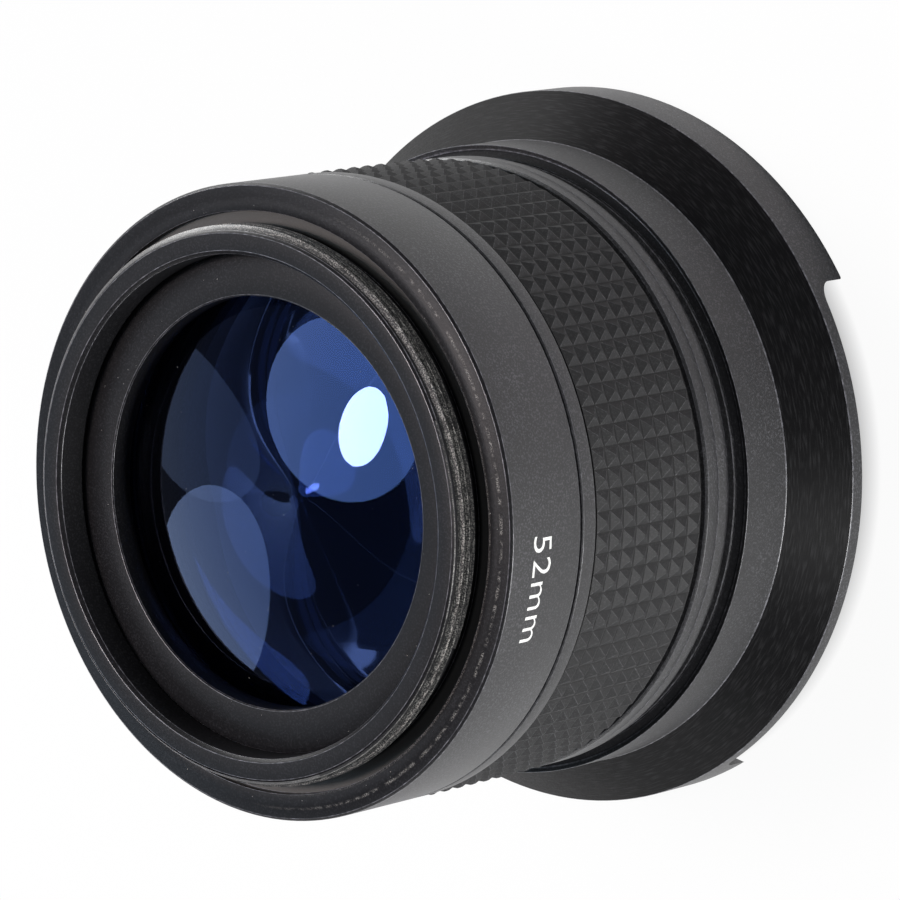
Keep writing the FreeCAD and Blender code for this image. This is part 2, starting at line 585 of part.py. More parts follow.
# The macro glass: a crown element domed towards the camera, cemented to a hollow flint element
turned("macro_crown_element", [
    ("0", Z_JOINT_VERTEX),
    (R_MACRO_GLASS, Z_JOINT_EDGE, JOINT_CURVE, 1),
    (R_MACRO_GLASS, Z_CROWN_EDGE),
    ("0", Z_CROWN_VERTEX, CROWN_CURVE, 1),
])

turned("macro_flint_element", [
    ("0", Z_FLINT_VERTEX),
    (R_MACRO_GLASS, Z_FLINT_EDGE, FLINT_CURVE, -1),
    (R_MACRO_GLASS, Z_JOINT_EDGE),
    ("0", Z_JOINT_VERTEX, JOINT_CURVE, -1),
])

turned("macro_spacer_ring", [
    (add(R_MACRO_GLASS, "-spacer_width"), Z_SPACER),
    (R_MACRO_GLASS, Z_SPACER),
    (R_MACRO_GLASS, Z_SPACER_TOP),
    (add(R_MACRO_GLASS, "-spacer_width"), Z_SPACER_TOP),
])

# Radial set screws under the rubber hold the second cell; each stands in its own hole in the barrel
Z_SCREW = add(Z_SHELF, "screw_level")
hole_count = int(sheet.screw_count)
hole_sketch = main_barrel.newObject("Sketcher::SketchObject", "screw_hole_section")
hole_sketch.AttachmentSupport = [(origin_plane(main_barrel, "YZ_Plane"), "")]
hole_sketch.MapMode = "FlatFace"
hole_radius = add("screw_radius", "assembly_fit")
hole_level = size_of(hole_sketch, Z_SCREW)
hole_sketch.addGeometry(
    Part.Circle(FreeCAD.Vector(0, hole_level, 0), FreeCAD.Vector(0, 0, 1), size_of(hole_sketch, hole_radius)),
    False)
hole_sketch.addConstraint(Sketcher.Constraint("PointOnObject", 0, 3, -2))
tie(hole_sketch, "DistanceY", 0, 3, hole_level, Z_SCREW)
hole_size = hole_sketch.addConstraint(
    Sketcher.Constraint("Radius", 0, size_of(hole_sketch, hole_radius)))
hole_sketch.setExpression(f"Constraints[{hole_size}]", hole_radius)
hole_sketch.Visibility = False
doc.recompute()
undrilled_volume = main_barrel.Shape.Volume
screw_hole = main_barrel.newObject("PartDesign::Pocket", "screw_hole")
screw_hole.Profile = hole_sketch
screw_hole.Type = "Length"
screw_hole.setExpression("Length", R_BARREL)
screw_hole.Reversed = True
main_barrel.Tip = screw_hole
doc.recompute()
screw_holes = main_barrel.newObject("PartDesign::PolarPattern", "screw_holes")
screw_holes.Originals = [screw_hole]
screw_holes.Axis = (origin_plane(main_barrel, "Z_Axis"), [""])
screw_holes.Angle = 360.0
screw_holes.setExpression("Occurrences", "Dims.screw_count")
main_barrel.Tip = screw_holes

screws = []
for number in range(hole_count):
    name = f"cell_set_screw_{number + 1}"
    shank = doc.addObject("Part::Cylinder", f"{name}_shank")
    socket = doc.addObject("Part::Prism", f"{name}_socket")
    socket.Polygon = 6
    turn_angle = f"{number} * 360deg / Dims.screw_count"
    radial = FreeCAD.Rotation(FreeCAD.Vector(0, 0, 1), 360.0 * number / hole_count).multiply(
        FreeCAD.Rotation(FreeCAD.Vector(0, 1, 0), 90.0))
    shank.setExpression("Radius", "Dims.screw_radius * 1mm")
    shank.setExpression("Height", f"({add(R_SEAT, f'-({R_CELL_BORE})', '-assembly_fit')}) * 1mm")
    socket.setExpression("Circumradius", "Dims.screw_socket * 1mm")
    socket.setExpression("Height", "Dims.screw_socket_depth * 1mm")
    reaches = {shank: R_CELL_BORE, socket: add(R_SEAT, "-assembly_fit", "-screw_socket_depth")}
    for piece, reach in reaches.items():
        piece.Placement = FreeCAD.Placement(FreeCAD.Vector(0, 0, 0), radial)
        piece.setExpression("Placement.Base.x", f"({reach}) * cos({turn_angle}) * 1mm")
        piece.setExpression("Placement.Base.y", f"({reach}) * sin({turn_angle}) * 1mm")
        piece.setExpression("Placement.Base.z", f"({Z_SCREW}) * 1mm")
    screw = doc.addObject("Part::Cut", name)
    screw.Base = shank
    screw.Tool = socket
    screw.Label = name
    screws.append(screw)

doc.recompute()
if hood_bell.Shape.Volume >= uncut_volume:
    raise RuntimeError("the gap between the petals cut nothing")
if len(main_barrel.Shape.Solids) != 1 or main_barrel.Shape.Volume >= undrilled_volume:
    raise RuntimeError("the set-screw holes cut nothing")

# Nothing broken may leave, and each piece is one solid
for item in doc.Objects:
    if "Invalid" in item.State or "Error" in item.State:
        raise RuntimeError(f"{item.Label}: {item.State}")
pieces = [item for item in doc.Objects if item.TypeId == "PartDesign::Body"] + screws
for piece in pieces:
    if piece.Shape.isNull() or not piece.Shape.isValid() or len(piece.Shape.Solids) != 1:
        raise RuntimeError(f"{piece.Label} is not one valid solid")

os.makedirs("parts", exist_ok=True)
for piece in pieces:
    piece.Shape.exportStep(os.path.join("parts", f"{piece.Label}.step"))
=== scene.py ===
"""Looks of a wide-angle conversion lens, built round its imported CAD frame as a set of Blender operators.

The lens stands on its hood's petals. Sizes are millimetres on the frame's own axes, and MM turns them into
Blender's metres. Front means the hood's end, which is down, and rear the camera thread's end.
"""

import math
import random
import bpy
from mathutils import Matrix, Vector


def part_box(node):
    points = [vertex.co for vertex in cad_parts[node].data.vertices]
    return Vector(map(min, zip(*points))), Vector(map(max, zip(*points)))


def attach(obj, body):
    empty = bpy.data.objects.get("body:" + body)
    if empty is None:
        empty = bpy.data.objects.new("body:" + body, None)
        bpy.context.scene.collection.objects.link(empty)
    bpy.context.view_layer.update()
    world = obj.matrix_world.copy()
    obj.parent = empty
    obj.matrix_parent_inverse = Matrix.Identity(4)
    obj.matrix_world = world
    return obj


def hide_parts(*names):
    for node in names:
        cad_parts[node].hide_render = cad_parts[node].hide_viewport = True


bl_info = {
    "name": "Wide-angle conversion lens",
    "version": (1, 0, 0),
    "blender": (4, 5, 0),
    "location": "3D View > Sidebar > Lens",
    "description": "Builds the hood, barrel, rubber grip, macro section and glass of a conversion lens",
    "category": "Object",
}

import bmesh
import bpy
from mathutils import Euler, Matrix, Vector

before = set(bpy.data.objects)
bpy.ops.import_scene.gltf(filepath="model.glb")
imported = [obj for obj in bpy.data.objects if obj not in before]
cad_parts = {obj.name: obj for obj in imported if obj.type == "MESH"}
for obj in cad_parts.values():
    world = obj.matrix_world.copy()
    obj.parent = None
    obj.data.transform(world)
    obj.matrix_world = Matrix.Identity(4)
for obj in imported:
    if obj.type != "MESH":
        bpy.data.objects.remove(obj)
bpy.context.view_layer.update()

MM = 0.001
TURN = 2 * math.pi
FRONT = "front_assembly"
SEAM = "seam_ring"
MACRO = "macro_section"

# Slots of the lens's materials
ALU = "black_anodised_aluminium"
SLEEVE = "grip_rubber"
LENS = "coated_glass"

# Finishes, named for the material and how its surface was made; some of them also hold painted light or shade
BLASTED = "bead_blasted_anodised_aluminium"
# A blacker copy of the anodise: painted shade on the end faces, the rear ring and the hood's crest
MATTE = "matte_anodised_aluminium"
TURNED = "turned_anodised_aluminium"
RUBBED = "rubbed_anodised_aluminium"
WORN = "worn_anodised_aluminium"
EDGE = "rubbed_anodised_edge"
RUBBER = "moulded_rubber"
RIDGE = "rubbed_rubber"
GROOVE = "groove_rubber"
COATED = "coated_optical_glass"
CEMENTED = "cemented_optical_glass"
INK = "screen_printed_ink"
DUST = "dust"
PLASTIC = "matte_black_plastic"
STEEL = "plain_steel"

# Tints of the lamps
WHITE = (1.0, 1.0, 1.0)
SKY = (0.68, 0.84, 1.0)
DAY = (1.0, 0.84, 0.80)


def linear(hex_colour):
    """Linear RGB of an sRGB hex colour."""
    parts = [int(hex_colour[i:i + 2], 16) / 255 for i in (1, 3, 5)]
    return tuple(p / 12.92 if p <= 0.04045 else ((p + 0.055) / 1.055) ** 2.4 for p in parts)


def per_mm(size):
    """Scale of a pattern on Object coordinates whose features are the given number of millimetres wide."""
    return 1 / (size * MM)


def low(node):
    """Height of a node's lower end, in millimetres."""
    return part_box(node)[0].z / MM


def high(node):
    """Height of a node's upper end, in millimetres."""
    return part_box(node)[1].z / MM


def span(node):
    """Heights of a node's front and rear ends, in millimetres."""
    return low(node), high(node)


def reach(node):
    """Outer radius of a turned node, in millimetres."""
    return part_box(node)[1].x / MM


# Sizes that several pieces share
BARREL = reach("main_barrel")  # outside of the barrel and of the rings beside it
HOOD_BORE = 29.24  # inside of the hood, round the front cell
SOCKET = 26.4  # thread between the front cell and the barrel
SEAL_BORE = 27.05  # inside of the seal ring, round the macro section's thread
THREAD = 26.0  # crests of the camera thread
DOME = 60.0  # curve of the rear glass
REAR_FACE = high("macro_housing") - 3.1  # height of the collar's rear face
PAD = REAR_FACE + 0.15  # height of its raised inner band
FIT = 0.05  # room between pieces that screw or slip together


# Settings

class LensShapeSettings(bpy.types.PropertyGroup):
    """Sizes of the details that the frame's solids leave plain."""

    round_steps: bpy.props.IntProperty(
        name="Round steps", description="Faces round each turned piece", default=180, min=48)
    edge_break: bpy.props.FloatProperty(
        name="Edge break", description="Rounding of turned edges", default=0.05 * MM, unit="LENGTH")
    grip_teeth: bpy.props.IntProperty(
        name="Grip teeth", description="Rubber pyramids round the barrel", default=95, min=12)
    grip_rows: bpy.props.IntProperty(
        name="Grip rows", description="Rows of rubber pyramids", default=8, min=1)
    grip_groove: bpy.props.FloatProperty(
        name="Grip groove", description="Half the flat groove between pyramids", default=0.07 * MM,
        unit="LENGTH")
    grip_height: bpy.props.FloatProperty(
        name="Pyramid height", description="Height of a rubber pyramid", default=0.44 * MM, unit="LENGTH")
    grip_flat: bpy.props.FloatProperty(
        name="Pyramid flat", description="Width of a pyramid's blunt tip", default=0.24 * MM, unit="LENGTH")
    thread_pitch: bpy.props.FloatProperty(
        name="Thread pitch", description="Pitch of the camera thread", default=0.75 * MM, unit="LENGTH")
    thread_depth: bpy.props.FloatProperty(
        name="Thread depth", description="Depth of the camera thread", default=0.5 * MM, unit="LENGTH")
    marking_height: bpy.props.FloatProperty(
        name="Marking height", description="Height of the painted numerals", default=2.5 * MM, unit="LENGTH")
    marking_start: bpy.props.FloatProperty(
        name="Marking start", description="Angle where the marking begins", default=math.radians(12.4),
        unit="ROTATION", subtype="ANGLE")
    marking_sweep: bpy.props.FloatProperty(
        name="Marking sweep", description="Angle that the marking takes up", default=math.radians(19.4),
        unit="ROTATION", subtype="ANGLE")


class LensFinishSettings(bpy.types.PropertyGroup):
    """Colours and surface values of the finishes."""

    anodise: bpy.props.FloatVectorProperty(
        name="Anodise", description="Black anodised aluminium", default=linear("#1e1e20"), subtype="COLOR",
        min=0, max=1)
    # Blacker than the anodise: painted shade
    shaded_face_anodise: bpy.props.FloatVectorProperty(
        name="Anodised faces", description="Matte black end faces", default=linear("#171719"),
        subtype="COLOR", min=0, max=1)
    anodise_rough: bpy.props.FloatProperty(
        name="Anodise roughness", description="Satin of the bead-blasted anodise", default=0.42,
        subtype="FACTOR", min=0, max=1)
    # Darker than the anodise: painted shade on the hood's flare
    turned: bpy.props.FloatVectorProperty(
        name="Turned anodise", description="Black anodise over turning lines", default=linear("#131314"),
        subtype="COLOR", min=0, max=1)
    rubber: bpy.props.FloatVectorProperty(
        name="Rubber", description="Grip rubber", default=linear("#1e1e1f"), subtype="COLOR", min=0, max=1)
    coating: bpy.props.FloatVectorProperty(
        name="Coating", description="Reflection of the lens coating", default=linear("#6888d6"),
        subtype="COLOR", min=0, max=1)
    paint: bpy.props.FloatVectorProperty(
        name="Marking paint", description="Paint of the thread-size marking", default=linear("#ededea"),
        subtype="COLOR", min=0, max=1)
    # Its pale colour also paints light into the macro section's trough
    dust: bpy.props.FloatVectorProperty(
        name="Dust", description="Dust and rubbed edges", default=linear("#a9a7a2"), subtype="COLOR",
        min=0, max=1)


# Materials

def add_node(tree, kind, values=None, links=None):
    """Adds a shader node; values set its inputs or its own properties, links join its inputs to sockets."""
    made = tree.nodes.new(kind)
    for name, value in (values or {}).items():
        if isinstance(name, int) or name in made.inputs:
            made.inputs[name].default_value = value
        else:
            setattr(made, name, value)
    for name, socket in (links or {}).items():
        tree.links.new(made.inputs[name], socket)
    return made


def opaque(colour):
    """RGBA of a stored colour."""
    return (*colour, 1.0)


def started(name, **values):
    """A new material of that name with its Principled shader and node tree, ready for its pattern."""
    material = bpy.data.materials.new(name)
    material.use_nodes = True
    tree = material.node_tree
    tree.nodes.clear()
    shader = add_node(tree, "ShaderNodeBsdfPrincipled", values)
    add_node(tree, "ShaderNodeOutputMaterial", links={"Surface": shader.outputs["BSDF"]})
    place = add_node(tree, "ShaderNodeTexCoord").outputs["Object"]
    return material, tree, shader, place


def maths(tree, operation, first, second=0.0):
    """Result socket of a two-input Math node; each input is a number or a socket."""
    made = add_node(tree, "ShaderNodeMath", {"operation": operation})
    for index, item in enumerate((first, second)):
        if isinstance(item, (int, float)):
            made.inputs[index].default_value = item
        else:
            tree.links.new(made.inputs[index], item)
    return made.outputs[0]


def noise(tree, place, size, detail=2.0, roughness=0.5):
    """Noise whose grains are about the given number of millimetres wide."""
    return add_node(
        tree, "ShaderNodeTexNoise", {"Scale": per_mm(size), "Detail": detail, "Roughness": roughness},
        {"Vector": place}).outputs[0]


def spread(tree, socket, from_low, from_high, to_low=0.0, to_high=1.0):
    """Map Range with its ends clamped."""
    return add_node(
        tree, "ShaderNodeMapRange",
        {"From Min": from_low, "From Max": from_high, "To Min": to_low, "To Max": to_high},
        {"Value": socket}).outputs[0]


def blend(tree, amount, first, second):
    """Colour that goes from first to second with the amount; each is RGBA or a socket."""
    made = add_node(tree, "ShaderNodeMix", {"data_type": "RGBA"}, {0: amount})
    for index, item in ((6, first), (7, second)):
        if isinstance(item, tuple):
            made.inputs[index].default_value = item
        else:
            tree.links.new(made.inputs[index], item)
    return made.outputs[2]


def bump(tree, shader, height, distance, strength=1.0):
    """Gives the shader a bump of the given height in millimetres."""
    made = add_node(
        tree, "ShaderNodeBump", {"Strength": strength, "Distance": distance * MM}, {"Height": height})
    tree.links.new(shader.inputs["Normal"], made.outputs[0])


def radius_of(tree, place):
    """Distance of the shaded point from the optical axis, with its height and its X and Y, as sockets."""
    parts = add_node(tree, "ShaderNodeSeparateXYZ", links={"Vector": place}).outputs
    across = maths(tree, "ADD", maths(tree, "MULTIPLY", parts[0], parts[0]),
                   maths(tree, "MULTIPLY", parts[1], parts[1]))
    return maths(tree, "SQRT", across), parts[2], parts[0], parts[1]


def band(tree, socket, centre, half_width, soft):
    """1 within half_width of centre, falling to 0 over soft; all in millimetres."""
    away = maths(tree, "ABSOLUTE", maths(tree, "SUBTRACT", socket, centre * MM))
    return spread(tree, away, half_width * MM, (half_width + soft) * MM, 1.0, 0.0)


def facing_side(tree, across, x, y, angle, start, full):
    """Grows from 0 to 1 as the point comes round to the given angle about the axis."""
    along = maths(tree, "ADD", maths(tree, "MULTIPLY", x, math.cos(angle)),
                  maths(tree, "MULTIPLY", y, math.sin(angle)))
    return spread(tree, maths(tree, "DIVIDE", along, across), start, full)


def drawn_out(tree, across, x, y, width, length, radius):
    """Noise in lines round the axis, of a width and length in mm, seen at about the given radius."""
    turn = maths(tree, "MULTIPLY", maths(tree, "ARCTAN2", y, x), radius / length)
    run = add_node(
        tree, "ShaderNodeCombineXYZ", links={"X": maths(tree, "MULTIPLY", across, per_mm(width)), "Y": turn})
    return add_node(
        tree, "ShaderNodeTexNoise", {"Scale": 1.0, "Detail": 1.0}, {"Vector": run.outputs[0]}).outputs[0]


def blasted_anodise(name, finish, colour=None, level=0.65, sparkle=4.0):
    """Bead-blasted, black anodised aluminium: satin, with a fine sparkle of grains a tenth of a
    millimetre wide, drawn at 0.2 mm so that the render shows them."""
    material, tree, shader, place = started(
        name, **{"Roughness": finish.anodise_rough, "Specular IOR Level": level})
    grain = noise(tree, place, 0.2, 1.0, 0.6)
    cloud = noise(tree, place, 7.0, 2.0)
    base = tuple(colour or finish.anodise)
    lighter = tuple(min(1.0, c * sparkle + 0.002 * sparkle) for c in base)
    grained = blend(tree, spread(tree, grain, 0.5, 0.68), opaque(base), opaque(lighter))
    darker = tuple(c * 0.75 for c in base)
    clouded = blend(tree, spread(tree, cloud, 0.35, 0.7, 0.0, 0.5), grained, opaque(darker))
    tree.links.new(shader.inputs["Base Color"], clouded)
    bump(tree, shader, grain, 0.0065 * sparkle, 0.9)
    return material


def matte_shaded_anodise(name, finish):
    """The same anodise on the end faces, less glossy than the barrel's side; its blacker colour is painted
    shade.
    """
    return blasted_anodise(name, finish, tuple(finish.shaded_face_anodise), 0.14, 2.0)


def turned_anodise(name, finish):
    """Black anodised aluminium left as turned: broken hairlines a tenth of a millimetre wide and two
    millimetres long round the axis. Its colour, darker than the barrel's anodise, is painted shade that
    stands in for the dark room which the flare mirrors."""
    material, tree, shader, place = started(name, **{"Specular IOR Level": 0.05})
    across, _, x, y = radius_of(tree, place)
    rings = drawn_out(tree, across, x, y, 0.11, 1.8, 33.0)
    grain = noise(tree, place, 0.2, 2.0)
    base = tuple(finish.turned)
    lighter = tuple(min(1.0, c * 2.2 + 0.005) for c in base)
    colour = blend(tree, spread(tree, rings, 0.48, 0.74), opaque(base), opaque(lighter))
    tree.links.new(shader.inputs["Base Color"], colour)
    rough = spread(tree, grain, 0.3, 0.7, 0.32, 0.44)
    tree.links.new(shader.inputs["Roughness"], rough)
    bump(tree, shader, rings, 0.01, 0.5)
    return material


def rear_anodise(name, finish):
    """Matte anodise of the macro section, blacker as painted shade, dusty where a camera's mount has met it:
    round the edge of the trough and in a broken ring on the rear face. A faint pale tint over the trough's
    floor is painted light that lifts its shade."""
    material = matte_shaded_anodise(name, finish)
    tree = material.node_tree
    shader = next(n for n in tree.nodes if n.type == "BSDF_PRINCIPLED")
    clean = shader.inputs["Base Color"].links[0].from_socket
    place = next(n for n in tree.nodes if n.type == "TEX_COORD").outputs["Object"]
    across, height, x, y = radius_of(tree, place)
    fine = noise(tree, place, 0.09, 1.0, 0.5)
    broken = noise(tree, place, 0.7, 2.0)
    ring_radius, rim_radius, trough_radius = 28.42, 27.12, 26.4
    on_face = band(tree, height, REAR_FACE, 0.35, 0.1)
    ring = maths(tree, "MULTIPLY", band(tree, across, ring_radius, 0.04, 0.13), on_face)
    ring = maths(tree, "MULTIPLY", ring, facing_side(tree, across, x, y, 0.05, 0.1, 0.6))
    ring = maths(tree, "MULTIPLY", ring, spread(tree, fine, 0.46, 0.58))
    ring = maths(tree, "MULTIPLY", ring, spread(tree, broken, 0.42, 0.6))
    rim = maths(tree, "MULTIPLY", band(tree, across, rim_radius, 0.05, 0.16), on_face)
    rim = maths(tree, "MULTIPLY", rim, facing_side(tree, across, x, y, -0.1, 0.3, 0.9))
    rim = maths(tree, "MULTIPLY", rim, spread(tree, fine, 0.48, 0.6, 0.0, 0.6))
    # Painted light: a faint pale tint over the trough's floor lifts its shade
    in_trough = band(tree, height, REAR_FACE - 0.7, 0.3, 0.4)
    trough = maths(tree, "MULTIPLY", in_trough, band(tree, across, trough_radius, 0.6, 0.3))
    # One mask for the dust and for the painted light in the trough
    dust = maths(tree, "MAXIMUM", maths(tree, "MAXIMUM", ring, rim), maths(tree, "MULTIPLY", trough, 0.35))
    colour = blend(tree, maths(tree, "MULTIPLY", dust, 0.6), clean, opaque(finish.dust))
    tree.links.new(shader.inputs["Base Color"], colour)
    return material


def worn_anodise(name, finish):
    """Anodise of the camera thread's crests, dusty and rubbed to bright specks, most of all on the
    first turn."""
    material, tree, shader, place = started(name, **{"Roughness": 0.4, "Specular IOR Level": 0.5})
    across, height, x, y = radius_of(tree, place)
    fine = noise(tree, place, 0.13, 1.0, 0.5)
    streak = drawn_out(tree, across, x, y, 0.12, 1.2, THREAD)
    first = spread(tree, height, (REAR_FACE + 0.65) * MM, (REAR_FACE + 2.25) * MM, 0.45, 1.0)
    edge = spread(tree, across, (THREAD - 0.55) * MM, (THREAD - 0.02) * MM, 0.35, 1.0)
    side = facing_side(tree, across, x, y, 0.6, -0.9, 0.6)
    speck = spread(tree, fine, 0.44, 0.6, 0.05, 1.0)
    rubbed = maths(tree, "MULTIPLY", first, edge)
    rubbed = maths(tree, "MULTIPLY", rubbed, maths(tree, "MULTIPLY", speck, side))
    rubbed = maths(tree, "MULTIPLY", rubbed, spread(tree, streak, 0.4, 0.6, 0.25, 1.0))
    tree.links.new(
        shader.inputs["Base Color"], blend(tree, rubbed, opaque(finish.anodise), opaque(finish.dust)))
    return material


def moulded_rubber(name, finish, painted_light_scale=1.0):
    """Matte moulded rubber, a little greyer where hands have rubbed it and dusty in small patches; the scale
    lightens or darkens all of it for painted highlight and shade.
    """
    material, tree, shader, place = started(
        name, **{"Roughness": 0.62, "Specular IOR Level": 0.34})
    grain = noise(tree, place, 0.18, 1.0, 0.6)
    patch = noise(tree, place, 4.5, 3.0)
    base = tuple(c * painted_light_scale for c in finish.rubber)
    worn_and_highlit = tuple(min(1.0, c * 2.4 + 0.005) for c in base)
    mask = maths(tree, "MULTIPLY", spread(tree, grain, 0.5, 0.68), spread(tree, patch, 0.3, 0.65, 0.35, 1.0))
    colour = blend(tree, mask, opaque(base), opaque(worn_and_highlit))
    tree.links.new(shader.inputs["Base Color"], colour)
    bump(tree, shader, grain, 0.02, 0.6)
    return material


def rubbed_rubber(name, finish):
    """The same rubber made lighter on the pyramids' ridges: a painted highlight along their lit edges."""
    return moulded_rubber(name, finish, 3.6)


def groove_rubber(name, finish):
    """The same rubber made darker: painted shade in the grooves and on the sleeve's turned-in ends."""
    return moulded_rubber(name, finish, 0.3)


def coated_glass(name, finish, body="#c9d6f2"):
    """Optical glass with a blue anti-reflection coating: clear through, deep blue in reflection, with
    a breath of haze in its gloss."""
    material, tree, shader, place = started(
        name, **{"Base Color": opaque(linear(body)), "Transmission Weight": 1.0, "IOR": 1.7,
                 "Specular IOR Level": 1.0, "Specular Tint": opaque(finish.coating)})
    haze = noise(tree, place, 6.0, 3.0)
    tree.links.new(shader.inputs["Roughness"], spread(tree, haze, 0.35, 0.75, 0.006, 0.03))
    return material


def cemented_glass(name, finish):
    """The same for the thick cemented pair, whose glass swallows more light."""
    return coated_glass(name, finish, "#6a7ba8")


def edge_highlight_anodise(name, finish):
    """Anodise on the rounded edges, smoother than the face beside it and greyer: the greyer colour is a
    painted highlight along each edge, patchy in tone.
    """
    material, tree, shader, place = started(name, **{"Roughness": 0.32, "Specular IOR Level": 0.5})
    highlight_patches = noise(tree, place, 0.5, 3.0)
    base = tuple(c * 3.0 for c in finish.anodise)
    worn_and_highlit = tuple(c * 12.0 for c in finish.anodise)
    tree.links.new(
        shader.inputs["Base Color"], blend(tree, spread(tree, highlight_patches, 0.4, 0.7), opaque(base), opaque(worn_and_highlit)))
    return material


def screen_paint(name, finish):
    """White screen-printed ink, flat and faintly uneven."""
    material, tree, shader, place = started(name, **{"Roughness": 0.5})
    speck = noise(tree, place, 0.25, 2.0)
    paint = tuple(finish.paint)
    thin = tuple(c * 0.72 for c in paint)
    colour = blend(tree, spread(tree, speck, 0.3, 0.55), opaque(thin), opaque(paint))
    tree.links.new(shader.inputs["Base Color"], colour)
    return material


def pale_dust(name, finish):
    """Pale, matte dust, a little mottled."""
    material, tree, shader, place = started(name, **{"Roughness": 0.9})
    mottle = noise(tree, place, 0.2, 2.0)
    dust = tuple(finish.dust)
    bright = tuple(min(1.0, c * 1.5) for c in dust)
    tree.links.new(
        shader.inputs["Base Color"], blend(tree, mottle, opaque(dust), opaque(bright)))
    return material


def matte_plastic(name, finish):
    """Matte black moulded plastic, slightly cloudy."""
    material, tree, shader, place = started(name, **{"Roughness": 0.6})
    cloud = noise(tree, place, 1.5, 3.0)
    tree.links.new(
        shader.inputs["Base Color"],
        blend(tree, cloud, opaque(linear("#121213")), opaque(linear("#1f1f20"))))
    return material


def plain_steel(name, finish):
    """Plain steel of the set screws, faintly drawn."""
    material, tree, shader, place = started(name, **{"Metallic": 1.0})
    drawn = noise(tree, place, 0.3, 2.0)
    tree.links.new(
        shader.inputs["Base Color"],
        blend(tree, drawn, opaque(linear("#8c8b88")), opaque(linear("#a8a7a3"))))
    tree.links.new(shader.inputs["Roughness"], spread(tree, drawn, 0.3, 0.7, 0.28, 0.42))
    return material


FINISHES = {
    BLASTED: blasted_anodise,
    MATTE: matte_shaded_anodise,
    TURNED: turned_anodise,
    RUBBED: rear_anodise,
    WORN: worn_anodise,
    EDGE: edge_highlight_anodise,
    RUBBER: moulded_rubber,
    RIDGE: rubbed_rubber,
    GROOVE: groove_rubber,
    COATED: coated_glass,
    CEMENTED: cemented_glass,
    INK: screen_paint,
    DUST: pale_dust,
    PLASTIC: matte_plastic,
    STEEL: plain_steel,
}


def finish_of(name):
    """The material of that name, made the first time that a piece asks for it."""
    found = bpy.data.materials.get(name)
    return found or FINISHES[name](name, bpy.context.scene.lens_finish)


# Shaping

def draw_section(mesh, steps, closed=True):
    """Draws a half section in the XZ plane from (radius, height) corners; a step with a third and
    fourth number ends an arc of that radius, 1 or -1 giving the side its centre lies on."""
    first = mesh.verts.new((steps[0][0] * MM, 0, steps[0][1] * MM))
    last = first
    for step in steps[1:]:
        end = Vector((step[0] * MM, 0, step[1] * MM))
        if len(step) == 4:
            last = sweep_arc(mesh, last, end, step[2] * MM, step[3])
        else:
            corner = mesh.verts.new(end)
            mesh.edges.new((last, corner))
            last = corner
    if closed:
        mesh.edges.new((last, first))


def sweep_arc(mesh, start, end, radius, side, pieces=20):
    """Spins a vertex into an arc that ends at the given point, and returns the last vertex."""
    chord = end - start.co
    left = Vector((-chord.z, 0, chord.x)).normalized()
    centre = start.co + chord / 2 + left * side * math.sqrt(radius ** 2 - chord.length_squared / 4)
    angle = 2 * math.asin(chord.length / 2 / radius)
    swept = bmesh.ops.spin(
        mesh, geom=[start], cent=centre, axis=(0, -side, 0), angle=angle, steps=pieces,
        use_merge=False, use_duplicate=False)
    last = next(item for item in swept["geom_last"] if isinstance(item, bmesh.types.BMVert))
    last.co = end
    return last


def turn_round(mesh, steps):
    """Spins everything in the mesh a full turn about the optical axis, closes its poles and turns its
    faces outwards."""
    bmesh.ops.spin(
        mesh, geom=mesh.verts[:] + mesh.edges[:], cent=(0, 0, 0), axis=(0, 0, 1), angle=TURN, steps=steps,
        use_merge=True, use_duplicate=False)
    bmesh.ops.remove_doubles(mesh, verts=mesh.verts[:], dist=1e-7)
    bmesh.ops.recalc_face_normals(mesh, faces=mesh.faces[:])


def break_edges(mesh, offset, slot=1, angle=24):
    """Rounds every edge sharper than the angle and gives the new faces a material slot of their own."""
    sharp = [
        edge for edge in mesh.edges
        if len(edge.link_faces) == 2 and edge.calc_face_angle() > math.radians(angle)]
    rounded = bmesh.ops.bevel(
        mesh, geom=sharp, affect="EDGES", offset=offset, offset_type="OFFSET", segments=2,
        profile=0.5, material=-1, clamp_overlap=True)
    for face in rounded["faces"]:
        face.material_index = slot


def finished_piece(name, mesh, finish, body, stands_for=(), smooth=True, crease=32):
    """Makes the object of a finished mesh, gives it its material and ties it to the frame."""
    data = bpy.data.meshes.new(name)
    mesh.to_mesh(data)
    mesh.free()
    if smooth:
        data.shade_smooth()
        data.set_sharp_from_angle(angle=math.radians(crease))
    data.materials.append(finish_of(finish))
    piece = bpy.data.objects.new(name, data)
    bpy.context.scene.collection.objects.link(piece)
    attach(piece, body)
    if stands_for:
        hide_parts(*stands_for)
    return piece


def refinish(piece, finish, test):
    """Gives another finish to the plain faces whose middle passes the test of radius and height, in mm."""
    piece.data.materials.append(finish_of(finish))
    slot = len(piece.data.materials) - 1
    for face in piece.data.polygons:
        middle = face.center / MM
        if face.material_index == 0 and test(math.hypot(middle.x, middle.y), middle.z):
            face.material_index = slot


def turned_piece(name, steps, finish, body, stands_for=(), slot=None, closed=True, edge=None, crease=32):
    """A piece spun from one half section, with its edges broken."""
    shape = bpy.context.scene.lens_shape
    mesh = bmesh.new()
    draw_section(mesh, steps, closed)
    turn_round(mesh, shape.round_steps)
    break_edges(mesh, shape.edge_break if edge is None else edge * MM)
    piece = finished_piece(name, mesh, finish, body, stands_for, crease=crease)
    # Aluminium pieces give their rounded edges the lighter edge anodise: a painted highlight
    piece.data.materials.append(finish_of(EDGE if slot == ALU else finish))
    return piece


# Operators

